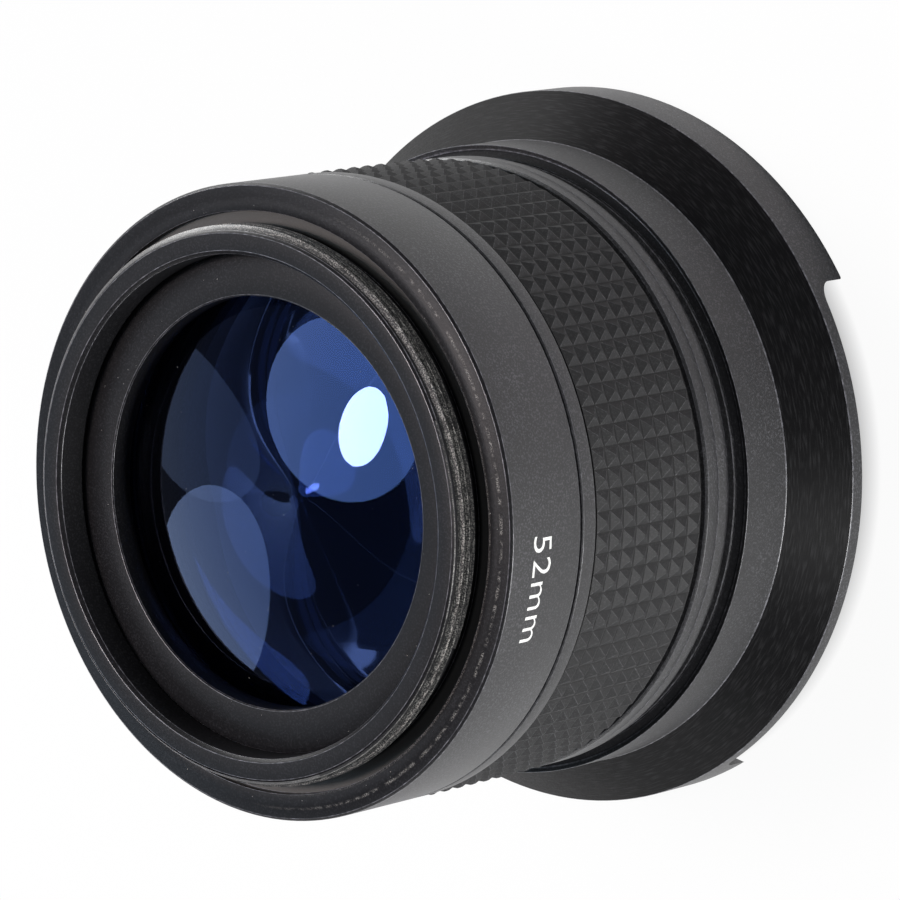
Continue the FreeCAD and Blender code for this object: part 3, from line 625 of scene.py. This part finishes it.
class LENS_OT_hood(bpy.types.Operator):
    """Turn the hood's bell and mill the gap between its petals"""

    bl_idname = "lens.hood"
    bl_label = "Hood"

    def execute(self, context):
        shape = context.scene.lens_shape
        rim = reach("hood_bell")
        front, rear = span("hood_bell")
        mouth, skirt = 33.5, 3.8
        throat, stop = 31.0, 6.5
        shoulder, flare_foot = 30.5, 5.1
        flare_end = flare_foot + rim - shoulder
        crest, crest_height = 30.05, 15.28
        shoulder_end = crest_height + 0.2
        mesh = bmesh.new()
        draw_section(mesh, [
            (mouth, front), (rim, front), (rim, flare_foot), (shoulder, flare_end), (shoulder, shoulder_end),
            (crest, crest_height), (HOOD_BORE, rear), (HOOD_BORE, stop), (throat, stop), (mouth, skirt)])
        turn_round(mesh, shape.round_steps)
        break_edges(mesh, 0.08 * MM, angle=20)
        piece = finished_piece("hood_bell_turned", mesh, BLASTED, FRONT, ["hood_bell"], smooth=False)
        # The rounded edges take the lighter edge anodise: a painted highlight
        piece.data.materials.append(finish_of(EDGE))
        self.mill_gap(piece)
        cone = rim + flare_foot
        # The flare takes the darker turned anodise: its turning lines are real, the darkness of its colour is
        # painted shade
        refinish(
            piece, TURNED,
            lambda radius, height: abs(radius + height - cone) < 0.06 and height > flare_foot + 0.05)
        # The crest cone inside the shoulder takes the blacker matte anodise: painted shade
        refinish(piece, MATTE, lambda radius, height: height > crest_height + 0.02 and radius < crest - 0.02)
        piece.data.shade_smooth()
        piece.data.set_sharp_from_angle(angle=math.radians(20))
        return {"FINISHED"}

    def mill_gap(self, piece):
        """Cuts the channel along X that leaves the two petals."""
        cutter = bmesh.new()
        half, depth, root, corner = 24.7, 3.7, 1.5, 0.3
        below, length = -2.0, 80.0
        outline = [
            (half + corner, below), (half + corner, 0.0), (half, corner, corner, -1), (half, depth - root),
            (half - root, depth, root, 1), (root - half, depth), (-half, depth - root, root, 1),
            (-half, corner), (-half - corner, 0.0, corner, -1), (-half - corner, below)]
        draw_section(cutter, outline)
        bmesh.ops.contextual_create(cutter, geom=cutter.edges[:])
        bmesh.ops.rotate(
            cutter, verts=cutter.verts[:], cent=(0, 0, 0), matrix=Matrix.Rotation(TURN / 4, 3, "Z"))
        bmesh.ops.translate(cutter, verts=cutter.verts[:], vec=(-length / 2 * MM, 0, 0))
        pushed = bmesh.ops.extrude_face_region(cutter, geom=cutter.faces[:])
        moved = [item for item in pushed["geom"] if isinstance(item, bmesh.types.BMVert)]
        bmesh.ops.translate(cutter, verts=moved, vec=(length * MM, 0, 0))
        bmesh.ops.recalc_face_normals(cutter, faces=cutter.faces[:])
        data = bpy.data.meshes.new("petal_gap")
        cutter.to_mesh(data)
        cutter.free()
        tool = bpy.data.objects.new("petal_gap", data)
        bpy.context.scene.collection.objects.link(tool)
        cut = piece.modifiers.new("petal_gap", "BOOLEAN")
        cut.object = tool
        cut.operation = "DIFFERENCE"
        cut.solver = "EXACT"
        ready = piece.evaluated_get(bpy.context.evaluated_depsgraph_get())
        milled = bpy.data.meshes.new_from_object(ready)
        piece.modifiers.remove(cut)
        piece.data = milled
        bpy.data.objects.remove(tool)


class LENS_OT_front_pieces(bpy.types.Operator):
    """Turn the front cell, its rings and the baffle inside the hood"""

    bl_idname = "lens.front_pieces"
    bl_label = "Front cell and rings"

    def execute(self, context):
        self.turn_baffle()
        self.turn_cell()
        self.turn_rings()
        return {"FINISHED"}

    def turn_baffle(self):
        """The light trap inside the hood, whose steps fall towards the front glass."""
        front, rear = span("hood_baffle")
        inner, outer, throat, count = 28.35, 32.61, 30.95, 4
        rise = (rear - front) / (count + 1)
        outline = [(inner, rear), (throat, rear), (reach("hood_baffle"), front)]
        for step in range(count):
            radius = outer - (outer - inner) * (step + 0.5) / count
            outline.append((radius, front + rise * step))
            outline.append((radius, front + rise * (step + 1)))
        outline.append((inner, front + rise * count))
        turned_piece("hood_baffle_ring", outline, BLASTED, FRONT, ["hood_baffle"], ALU)

    def turn_cell(self):
        """The front cell: its skin slips into the hood, and its groove and neck show behind it."""
        front, rear = span("front_cell")
        skin, lip = HOOD_BORE - FIT, high("hood_bell") + 0.2
        groove, groove_end, neck_round = skin - 0.7, 16.5, 1.25
        socket_floor, ledge, ledge_front = 17.78, 24.3, 16.98
        glass_bore = reach("front_element") + FIT
        thread_bore, thread_end = glass_bore + 0.35, 9.94
        turned_piece("front_cell_turned", [
            (thread_bore, front), (skin, front), (skin, lip), (groove, lip), (groove, groove_end),
            (BARREL, groove_end + neck_round, neck_round, 1), (BARREL, rear), (SOCKET, rear),
            (SOCKET, socket_floor), (ledge, socket_floor), (ledge, ledge_front), (glass_bore, ledge_front),
            (glass_bore, thread_end), (thread_bore, thread_end)],
            BLASTED, FRONT, ["front_cell"], ALU)

    def turn_rings(self):
        """The ring that holds the front glass, and the lock ring in front of the rubber."""
        front, rear = span("front_retaining_ring")
        outer = reach("front_retaining_ring")
        inner, bevel, slope = outer - 1.75, 0.8, 0.6
        turned_piece("front_retaining_ring_turned", [
            (inner + bevel, front), (outer, front), (outer, rear), (inner, rear - slope),
            (inner, front + bevel)],
            BLASTED, FRONT, ["front_retaining_ring"], ALU)
        front, rear = span("lock_ring")
        bevel, fall = 0.25, 0.21
        turned_piece("lock_ring_turned", [
            (SOCKET, front), (BARREL, front), (BARREL, rear - fall), (BARREL - bevel, rear), (SOCKET, rear)],
            BLASTED, FRONT, ["lock_ring"], ALU, edge=0.02)


class LENS_OT_barrel(bpy.types.Operator):
    """Turn the main barrel, whose bare band shows above the rubber"""

    bl_idname = "lens.barrel"
    bl_label = "Main barrel"

    def execute(self, context):
        front, rear = span("main_barrel")
        spigot, bore, shelf = SOCKET - FIT, 24.0, 20.95
        seat, seat_front, band_front = 28.5, 20.5, 36.9
        bevel, fine_bevel, seal_room = 0.12, 0.04, 0.8
        counterbore, seal_floor = SEAL_BORE + seal_room, rear - seal_room
        cell_bore, cell_end = 25.4, 33.9
        turned_piece("main_barrel_turned", [
            (bore, front), (spigot, front), (spigot, seat_front), (seat, seat_front), (seat, band_front),
            (BARREL - fine_bevel, band_front), (BARREL, band_front + fine_bevel), (BARREL, rear - bevel),
            (BARREL - bevel, rear), (counterbore, rear), (counterbore, seal_floor), (SEAL_BORE, seal_floor),
            (SEAL_BORE, cell_end), (cell_bore, cell_end), (cell_bore, shelf), (bore, shelf)],
            BLASTED, FRONT, ["main_barrel"], ALU, edge=0.02)
        return {"FINISHED"}


class LENS_OT_rubber_grip(bpy.types.Operator):
    """Mould the rubber sleeve with its rows of pyramids"""

    bl_idname = "lens.rubber_grip"
    bl_label = "Rubber grip"

    def execute(self, context):
        shape = context.scene.lens_shape
        front, rear = span("rubber_grip")
        base, bore = 29.28 * MM, 28.55 * MM
        pitch = (rear - front) * MM / shape.grip_rows
        mesh = bmesh.new()
        bmesh.ops.create_circle(
            mesh, cap_ends=False, segments=shape.grip_teeth, radius=base,
            matrix=Matrix.Translation((0, 0, front * MM)))
        rim = mesh.edges[:]
        for _ in range(shape.grip_rows):
            raised = bmesh.ops.extrude_edge_only(mesh, edges=rim)["geom"]
            bmesh.ops.translate(
                mesh, verts=[v for v in raised if isinstance(v, bmesh.types.BMVert)], vec=(0, 0, pitch))
            rim = [e for e in raised if isinstance(e, bmesh.types.BMEdge)]
        bmesh.ops.recalc_face_normals(mesh, faces=mesh.faces[:])
        outwards = mesh.faces[0].calc_center_median().dot(mesh.faces[0].normal) > 0
        if not outwards:
            bmesh.ops.reverse_faces(mesh, faces=mesh.faces[:])
        cells = mesh.faces[:]
        grooves = bmesh.ops.inset_individual(
            mesh, faces=cells, thickness=shape.grip_groove, depth=0, use_even_offset=True)
        # The flat grooves between the pyramids take the darker rubber: painted shade
        for face in grooves["faces"]:
            face.material_index = 2
        feet = set(vert for face in cells for vert in face.verts)
        bmesh.ops.inset_individual(
            mesh, faces=cells, thickness=(pitch - shape.grip_flat) / 2 - shape.grip_groove,
            depth=shape.grip_height, use_even_offset=True)
        tips = set(vert for face in cells for vert in face.verts)
        ridges = [edge for vert in tips for edge in vert.link_edges if edge.other_vert(vert) in feet]
        broken = bmesh.ops.bevel(
            mesh, geom=ridges, affect="EDGES", offset=0.025 * MM, offset_type="OFFSET", segments=1,
            profile=0.5, material=-1, clamp_overlap=True)
        # The broken ridges take the lighter rubber: a painted highlight
        for face in broken["faces"]:
            face.material_index = 1
        self.close_sleeve(mesh, bore / base)
        piece = finished_piece(
            "rubber_grip_pyramids", mesh, RUBBER, FRONT, ["rubber_grip"], crease=12)
        piece.data.materials.append(finish_of(RIDGE))
        piece.data.materials.append(finish_of(GROOVE))
        return {"FINISHED"}

    def close_sleeve(self, mesh, share):
        """Turns both end edges in to the bore and joins them by the sleeve's inner wall."""
        rims = [edge for edge in mesh.edges if edge.is_boundary]
        turned_in = bmesh.ops.extrude_edge_only(mesh, edges=rims)["geom"]
        verts = [v for v in turned_in if isinstance(v, bmesh.types.BMVert)]
        bmesh.ops.scale(mesh, verts=verts, vec=(share, share, 1))
        # The turned-in ends take the darker rubber: painted shade
        for item in turned_in:
            if isinstance(item, bmesh.types.BMFace):
                item.material_index = 2
        inner = [e for e in turned_in if isinstance(e, bmesh.types.BMEdge) and e.is_boundary]
        bmesh.ops.bridge_loops(mesh, edges=inner)
        bmesh.ops.recalc_face_normals(mesh, faces=mesh.faces[:])


class LENS_OT_seal_ring(bpy.types.Operator):
    """Turn the rubber seal in the seam"""

    bl_idname = "lens.seal_ring"
    bl_label = "Seam seal"

    def execute(self, context):
        front, rear = span("seam_seal_ring")
        outer = reach("seam_seal_ring")
        turned_piece("seam_seal_round", [
            (SEAL_BORE, front), (outer, front), (outer, rear), (SEAL_BORE, rear)],
            RUBBER, SEAM, ["seam_seal_ring"], SLEEVE, edge=0.2)
        return {"FINISHED"}


class LENS_OT_macro_housing(bpy.types.Operator):
    """Turn the macro section's housing and cut the camera thread on its boss"""

    bl_idname = "lens.macro_housing"
    bl_label = "Macro housing"

    def execute(self, context):
        shape = context.scene.lens_shape
        front, rear = span("macro_housing")
        spigot, spigot_bevel, flare, collar = SEAL_BORE - FIT, 0.25, 22.45, 39.0
        bevel, fine_bevel = 0.25, 0.12
        pad, pad_bevel, trough = 28.55, 0.3, REAR_FACE - 0.6
        relief, relief_end, root = THREAD - 0.7, 49.2, THREAD - shape.thread_depth / MM
        bore, mouth_bevel, ring_seat = 23.3, 0.35, 46.45
        cell, ledge, shelf = 22.65, 20.85, 36.75
        mesh = bmesh.new()
        draw_section(mesh, [
            (flare, front), (spigot - spigot_bevel, front), (spigot, front + spigot_bevel), (spigot, collar),
            (BARREL - fine_bevel, collar), (BARREL, collar + fine_bevel), (BARREL, REAR_FACE - bevel),
            (BARREL - bevel, REAR_FACE), (pad, REAR_FACE), (pad - pad_bevel, PAD), (SEAL_BORE, PAD),
            (SEAL_BORE, trough), (relief, trough), (relief, relief_end), (root, relief_end + 0.15),
            (root, rear - 0.2), (root - 0.25, rear), (bore + mouth_bevel, rear), (bore, rear - mouth_bevel),
            (bore, ring_seat), (cell, ring_seat), (cell, shelf), (ledge, shelf), (ledge, shelf - 1.0)])
        turn_round(mesh, shape.round_steps)
        break_edges(mesh, 0.045 * MM, slot=2, angle=30)
        self.cut_thread(mesh, shape, root)
        piece = finished_piece(
            "macro_housing_threaded", mesh, RUBBED, MACRO, ["macro_housing"])
        piece.data.materials.append(finish_of(WORN))
        # The rounded edges take the lighter edge anodise: a painted highlight
        piece.data.materials.append(finish_of(EDGE))
        # The housing's faces keep the blacker rear anodise, which is painted shade; its side takes the
        # barrel's blasted anodise
        refinish(
            piece, BLASTED, lambda radius, height: radius > BARREL - 0.2 and height < REAR_FACE - 0.35)
        return {"FINISHED"}

    def cut_thread(self, mesh, shape, root):
        """Winds the thread's ridge up the boss; it runs out in the undercut and in the lead-in cone."""
        pitch, rear = shape.thread_pitch / MM, high("macro_housing")
        start, lead, end = REAR_FACE + 0.7, rear - 0.75, rear - 0.05
        begin = math.radians(-11.1)
        turns = (end - start) / pitch
        steps = int(144 * turns)
        buried = root - 0.1
        ridge = bmesh.new()
        draw_section(ridge, [
            (buried, start - 0.36 * pitch), (THREAD, start - 0.06 * pitch), (THREAD, start + 0.06 * pitch),
            (buried, start + 0.44 * pitch)])
        bmesh.ops.contextual_create(ridge, geom=ridge.edges[:])
        bmesh.ops.spin(
            ridge, geom=ridge.verts[:] + ridge.edges[:] + ridge.faces[:], cent=(0, 0, 0), axis=(0, 0, 1),
            dvec=(0, 0, (end - start) * MM / steps), angle=TURN * turns, steps=steps, use_merge=False,
            use_duplicate=False)
        for vert in ridge.verts:
            flat, height = math.hypot(vert.co.x, vert.co.y) / MM, vert.co.z / MM
            run_in = root + max(0.0, height - start + 0.05) * 4
            run_out = THREAD - max(0.0, height - lead) * 0.7
            limit = min(run_in, run_out)
            if flat > limit:
                bmesh.ops.scale(ridge, verts=[vert], vec=(limit / flat, limit / flat, 1))
            vert.co.z = min(vert.co.z, (rear - 0.01) * MM)
        bmesh.ops.rotate(
            ridge, verts=ridge.verts[:], cent=(0, 0, 0), matrix=Matrix.Rotation(begin, 3, "Z"))
        bmesh.ops.recalc_face_normals(ridge, faces=ridge.faces[:])
        for face in ridge.faces:
            middle = face.calc_center_median() / MM
            face.material_index = int(face.normal.z > -0.3 and math.hypot(middle.x, middle.y) > root)
        data = bpy.data.meshes.new("thread_ridge")
        ridge.to_mesh(data)
        ridge.free()
        mesh.from_mesh(data)
        bpy.data.meshes.remove(data)


class LENS_OT_macro_ring(bpy.types.Operator):
    """Turn the ring that holds the rear glass"""

    bl_idname = "lens.macro_ring"
    bl_label = "Macro retaining ring"

    def execute(self, context):
        front, rear = span("macro_retaining_ring")
        outer = reach("macro_retaining_ring")
        inner, bevel, drop, fine_bevel = outer - 4.05, 0.6, 0.25, 0.12
        # The ring's blacker matte anodise is painted shade
        turned_piece("macro_retaining_ring_turned", [
            (inner, front), (outer, front), (outer, rear - drop), (outer - bevel, rear),
            (inner + fine_bevel, rear), (inner, rear - fine_bevel)],
            MATTE, MACRO, ["macro_retaining_ring"], ALU, edge=0.04)
        return {"FINISHED"}


class LENS_OT_glass(bpy.types.Operator):
    """Grind the glass elements: front meniscus, hollow middle element and cemented rear pair"""

    bl_idname = "lens.glass"
    bl_label = "Glass"

    def execute(self, context):
        self.grind_rear_pair()
        self.grind_front()
        self.grind_second()
        return {"FINISHED"}

    def grind_rear_pair(self):
        """The cemented pair under the retaining ring: domed behind, hollow in front."""
        front, rear = low("macro_flint_element"), high("macro_crown_element")
        edge, rise, hollow, hollow_curve = reach("macro_crown_element"), 4.42, 1.727, 148.9
        turned_piece("macro_doublet_glass", [
            (0.0, front + hollow), (edge, front, hollow_curve, 1), (edge, rear - rise), (0.0, rear, DOME, 1)],
            CEMENTED, MACRO, ["macro_crown_element", "macro_flint_element"], LENS, closed=False, edge=0.1)

    def grind_front(self):
        """The front meniscus: domed in front, with a bowl ground out of its rear."""
        front, rear = span("front_element")
        edge = reach("front_element")
        dome_depth, dome_curve = 5.34, 75.03
        bowl, bowl_floor, bowl_curve = 22.5, front + 2.6, 31.86
        turned_piece("front_meniscus_glass", [
            (0.0, front), (edge, front + dome_depth, dome_curve, 1), (edge, rear), (bowl, rear),
            (0.0, bowl_floor, bowl_curve, -1)],
            COATED, FRONT, ["front_element"], LENS, closed=False, edge=0.1)

    def grind_second(self):
        """The second element, hollow on both sides."""
        front, rear = span("second_element")
        edge = reach("second_element")
        front_hollow, front_curve = 4.0, 59.78
        rear_hollow, rear_curve = 2.95, 79.82
        turned_piece("second_glass", [
            (0.0, front + front_hollow), (edge, front, front_curve, -1), (edge, rear),
            (0.0, rear - rear_hollow, rear_curve, -1)],
            COATED, FRONT, ["second_element"], LENS, closed=False, edge=0.1)


class LENS_OT_marking(bpy.types.Operator):
    """Print the thread size on the macro section"""

    bl_idname = "lens.marking"
    bl_label = "Size marking"

    def execute(self, context):
        shape = context.scene.lens_shape
        words = bpy.data.curves.new("thread_size", "FONT")
        words.body = "52mm"
        words.size = 1.0
        words.offset = -0.006
        words.space_character = 1.06
        words.extrude = 0.0
        words.resolution_u = 8
        text = bpy.data.objects.new("thread_size", words)
        context.scene.collection.objects.link(text)
        ready = text.evaluated_get(context.evaluated_depsgraph_get())
        data = bpy.data.meshes.new_from_object(ready)
        bpy.data.objects.remove(text)
        mesh = bmesh.new()
        mesh.from_mesh(data)
        bpy.data.meshes.remove(data)
        self.wrap(mesh, shape)
        finished_piece(
            "thread_size_marking", mesh, INK, MACRO, smooth=False)
        return {"FINISHED"}

    def wrap(self, mesh, shape):
        """Fits the flat letters to their size and bends them round the barrel, tops towards the hood."""
        printed = (BARREL + 0.004) * MM
        line = 45.65 * MM
        left = min(v.co.x for v in mesh.verts)
        right = max(v.co.x for v in mesh.verts)
        foot = min(v.co.y for v in mesh.verts)
        head = max(v.co.y for v in mesh.verts)
        bmesh.ops.triangulate(mesh, faces=mesh.faces[:])
        bmesh.ops.subdivide_edges(mesh, edges=[e for e in mesh.edges if e.calc_length() > 0.25], cuts=2)
        for vert in mesh.verts:
            along = (vert.co.x - left) / (right - left)
            up = (vert.co.y - foot) / (head - foot)
            angle = shape.marking_start - along * shape.marking_sweep
            vert.co = (
                printed * math.cos(angle), printed * math.sin(angle), line - up * shape.marking_height)
        bmesh.ops.recalc_face_normals(mesh, faces=mesh.faces[:])
        mesh.faces.ensure_lookup_table()
        if mesh.faces[0].calc_center_median().dot(mesh.faces[0].normal) < 0:
            bmesh.ops.reverse_faces(mesh, faces=mesh.faces[:])


class LENS_OT_dust(bpy.types.Operator):
    """Scatter the flecks of dust that lie on the rear glass and rings"""

    bl_idname = "lens.dust"
    bl_label = "Dust"

    def execute(self, context):
        draw = random.Random(52)
        mesh = bmesh.new()
        on_glass, on_ring, on_face = 46, 30, 26
        opening, apex = 18.9, high("macro_crown_element")
        for _ in range(on_glass):
            radius = opening * math.sqrt(draw.random())
            angle = draw.random() * TURN
            height = apex - DOME + math.sqrt(DOME ** 2 - radius ** 2)
            self.fleck(mesh, draw, radius, angle, height, 0.022 + 0.03 * draw.random() ** 3)
        for _ in range(on_ring):
            radius = 19.5 + 3.0 * draw.random()
            angle = draw.random() * TURN
            height = high("macro_retaining_ring")
            self.fleck(mesh, draw, radius, angle, height, 0.02 + 0.03 * draw.random() ** 2)
        for _ in range(on_face):
            radius = 27.2 + 0.9 * draw.random()
            angle = draw.random() * TURN
            self.fleck(mesh, draw, radius, angle, PAD, 0.02 + 0.03 * draw.random() ** 2)
        finished_piece("rear_dust", mesh, DUST, MACRO)
        return {"FINISHED"}

    def fleck(self, mesh, draw, radius, angle, height, size):
        """A flattened grain that rests on the surface below it."""
        place = Vector((radius * math.cos(angle), radius * math.sin(angle), height + size * 0.3)) * MM
        turn = Matrix.Rotation(draw.random() * TURN, 4, "Z")
        squash = Matrix.Diagonal((1.0, 0.5 + 0.5 * draw.random(), 0.4, 1.0))
        bmesh.ops.create_icosphere(
            mesh, subdivisions=1, radius=size * MM, matrix=Matrix.Translation(place) @ turn @ squash)


class LENS_OT_inner_pieces(bpy.types.Operator):
    """Give the pieces that stay inside the barrel their finishes"""

    bl_idname = "lens.inner_pieces"
    bl_label = "Inner pieces"

    def execute(self, context):
        finishes = {
            "front_cushion_ring": PLASTIC,
            "second_cell": BLASTED,
            "second_retaining_ring": BLASTED,
            "baffle_tube": BLASTED,
            "macro_spacer_ring": BLASTED,
            "cell_set_screw_1": STEEL,
            "cell_set_screw_2": STEEL,
            "cell_set_screw_3": STEEL,
        }
        for node, finish in finishes.items():
            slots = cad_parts[node].data.materials
            slots.clear()
            slots.append(finish_of(finish))
        return {"FINISHED"}


class LENS_OT_stage(bpy.types.Operator):
    """Lay the floor and set up the lamps, the world and the camera"""

    bl_idname = "lens.stage"
    bl_label = "Stage"

    def execute(self, context):
        scene = context.scene
        self.lay_floor(scene)
        self.light_world(scene)
        self.light_barrel(scene)
        self.light_glass(scene)
        self.place_camera(scene)
        scene.view_settings.view_transform = "Standard"
        return {"FINISHED"}

    def lay_floor(self, scene):
        """A white table that fills the view. It keeps the lens's shadow, stays dark under the hood, and
        gleams in the lens's sides only towards two quarters, so that they keep their dark streaks."""
        mesh = bmesh.new()
        bmesh.ops.create_grid(mesh, x_segments=1, y_segments=1, size=4.0)
        data = bpy.data.meshes.new("floor")
        mesh.to_mesh(data)
        mesh.free()
        floor = bpy.data.objects.new("floor", data)
        material = bpy.data.materials.new("white_table")
        material.use_nodes = True
        tree = material.node_tree
        tree.nodes.clear()
        matte = add_node(tree, "ShaderNodeBsdfDiffuse", {"Color": opaque(linear("#e9e9e9"))})
        glow = add_node(tree, "ShaderNodeEmission", {"Color": (1, 1, 1, 1), "Strength": 1.0})
        path = add_node(tree, "ShaderNodeLightPath").outputs
        place = add_node(tree, "ShaderNodeTexCoord").outputs["Object"]
        across, _, x, y = radius_of(tree, place)
        far_quarter = facing_side(tree, across, x, y, 2.3, 0.35, 0.95)
        near_quarter = facing_side(tree, across, x, y, -0.7, 0.15, 0.8)
        lit = maths(tree, "MAXIMUM", far_quarter, near_quarter)
        shiny = maths(tree, "MULTIPLY", path["Is Glossy Ray"], lit)
        direct = maths(tree, "MAXIMUM", path["Is Camera Ray"], path["Is Transmission Ray"])
        seen = maths(tree, "MAXIMUM", direct, shiny)
        open_table = spread(tree, across, 0.030, 0.0345, 0.0, 0.95)
        mixed = add_node(
            tree, "ShaderNodeMixShader",
            links={0: maths(tree, "MULTIPLY", seen, open_table), 1: matte.outputs[0], 2: glow.outputs[0]})
        add_node(tree, "ShaderNodeOutputMaterial", links={"Surface": mixed.outputs[0]})
        data.materials.append(material)
        scene.collection.objects.link(floor)

    def light_world(self, scene):
        """A dim studio all round, white where the camera looks past the floor."""
        world = bpy.data.worlds.new("studio")
        world.use_nodes = True
        tree = world.node_tree
        tree.nodes.clear()
        room = add_node(tree, "ShaderNodeBackground", {"Color": opaque(linear("#b8bcc4")), "Strength": 0.2})
        white = add_node(tree, "ShaderNodeBackground", {"Color": (1, 1, 1, 1), "Strength": 1.0})
        path = add_node(tree, "ShaderNodeLightPath").outputs
        mixed = add_node(
            tree, "ShaderNodeMixShader",
            links={0: path["Is Camera Ray"], 1: room.outputs[0], 2: white.outputs[0]})
        add_node(tree, "ShaderNodeOutputWorld", links={"Surface": mixed.outputs[0]})
        scene.world = world

    def light_barrel(self, scene):
        """Three long softboxes just above the table, which draw the bright lines along the barrel."""
        self.hang_lamp(scene, "key_softbox", (-0.62, 0.34, 0.09), (0.44, 0.12), 3.5)
        self.hang_lamp(scene, "side_softbox", (0.68, -0.10, 0.11), (0.30, 0.14), 4.8)
        self.hang_lamp(scene, "low_softbox", (0.10, -0.70, 0.12), (0.60, 0.14), 1.0)

    def light_glass(self, scene):
        """Pale panels and one bright window, placed where the rear glass mirrors them to the camera."""
        self.hang_lamp(scene, "left_panel", (-0.551, -0.410, 0.424), (0.32, 0.50), 0.85, 0.25, SKY)
        self.hang_lamp(scene, "far_panel", (-0.647, -0.155, 0.435), (0.24, 0.52), 0.18, -0.2, SKY)
        self.hang_lamp(scene, "roof_panel", (-0.320, 0.030, 0.748), (0.40, 0.50), 2.0, 0.0, SKY)
        self.hang_lamp(scene, "window", (-0.221, 0.019, 0.699), (0.17, 0.12), 3.2, 0.0, DAY)

    def hang_lamp(self, scene, name, place, size, power, roll=0.0, tint=WHITE):
        """A flat, oval softbox of the given width and height that looks at the lens."""
        data = bpy.data.lights.new(name, "AREA")
        data.shape = "ELLIPSE"
        data.size, data.size_y = size
        data.energy = power
        data.color = tint
        lamp = bpy.data.objects.new(name, data)
        lamp.location = place
        aim = Vector((0, 0, 0.045)) - Vector(place)
        turn = aim.to_track_quat("-Z", "Y").to_matrix() @ Matrix.Rotation(roll, 3, "Z")
        lamp.rotation_euler = turn.to_euler()
        scene.collection.objects.link(lamp)

    def place_camera(self, scene):
        """Behind and above the thread, turned so that the lens lies across the picture as if on its side."""
        data = bpy.data.cameras.new("camera")
        data.sensor_width = 36.0
        data.lens = 221.5
        data.clip_start = 0.05
        data.clip_end = 20.0
        camera = bpy.data.objects.new("camera", data)
        camera.location = (0.310969, 0.157030, 0.420503)
        camera.rotation_euler = Euler((math.radians(-8.9312), math.radians(40.3387), math.radians(12.8536)))
        scene.collection.objects.link(camera)
        scene.camera = camera


class LENS_PT_panel(bpy.types.Panel):
    """Lists the lens's pieces and settings in the sidebar"""

    bl_idname = "LENS_PT_panel"
    bl_label = "Conversion lens"
    bl_space_type = "VIEW_3D"
    bl_region_type = "UI"
    bl_category = "Lens"

    def draw(self, context):
        layout = self.layout
        for group in (context.scene.lens_shape, context.scene.lens_finish):
            box = layout.box()
            for name in group.__annotations__:
                box.prop(group, name)
        for operator in PIECES:
            layout.operator(operator.bl_idname)


PIECES = (
    LENS_OT_stage,
    LENS_OT_hood,
    LENS_OT_front_pieces,
    LENS_OT_barrel,
    LENS_OT_rubber_grip,
    LENS_OT_seal_ring,
    LENS_OT_macro_housing,
    LENS_OT_macro_ring,
    LENS_OT_glass,
    LENS_OT_marking,
    LENS_OT_dust,
    LENS_OT_inner_pieces,
)
CLASSES = (LensShapeSettings, LensFinishSettings, *PIECES, LENS_PT_panel)


def register():
    for item in CLASSES:
        bpy.utils.register_class(item)
    bpy.types.Scene.lens_shape = bpy.props.PointerProperty(type=LensShapeSettings)
    bpy.types.Scene.lens_finish = bpy.props.PointerProperty(type=LensFinishSettings)


def unregister():
    del bpy.types.Scene.lens_finish
    del bpy.types.Scene.lens_shape
    for item in reversed(CLASSES):
        bpy.utils.unregister_class(item)


def main():
    register()
    for operator in PIECES:
        group, action = operator.bl_idname.split(".")
        getattr(getattr(bpy.ops, group), action)()


if __name__ == "__main__":
    main()
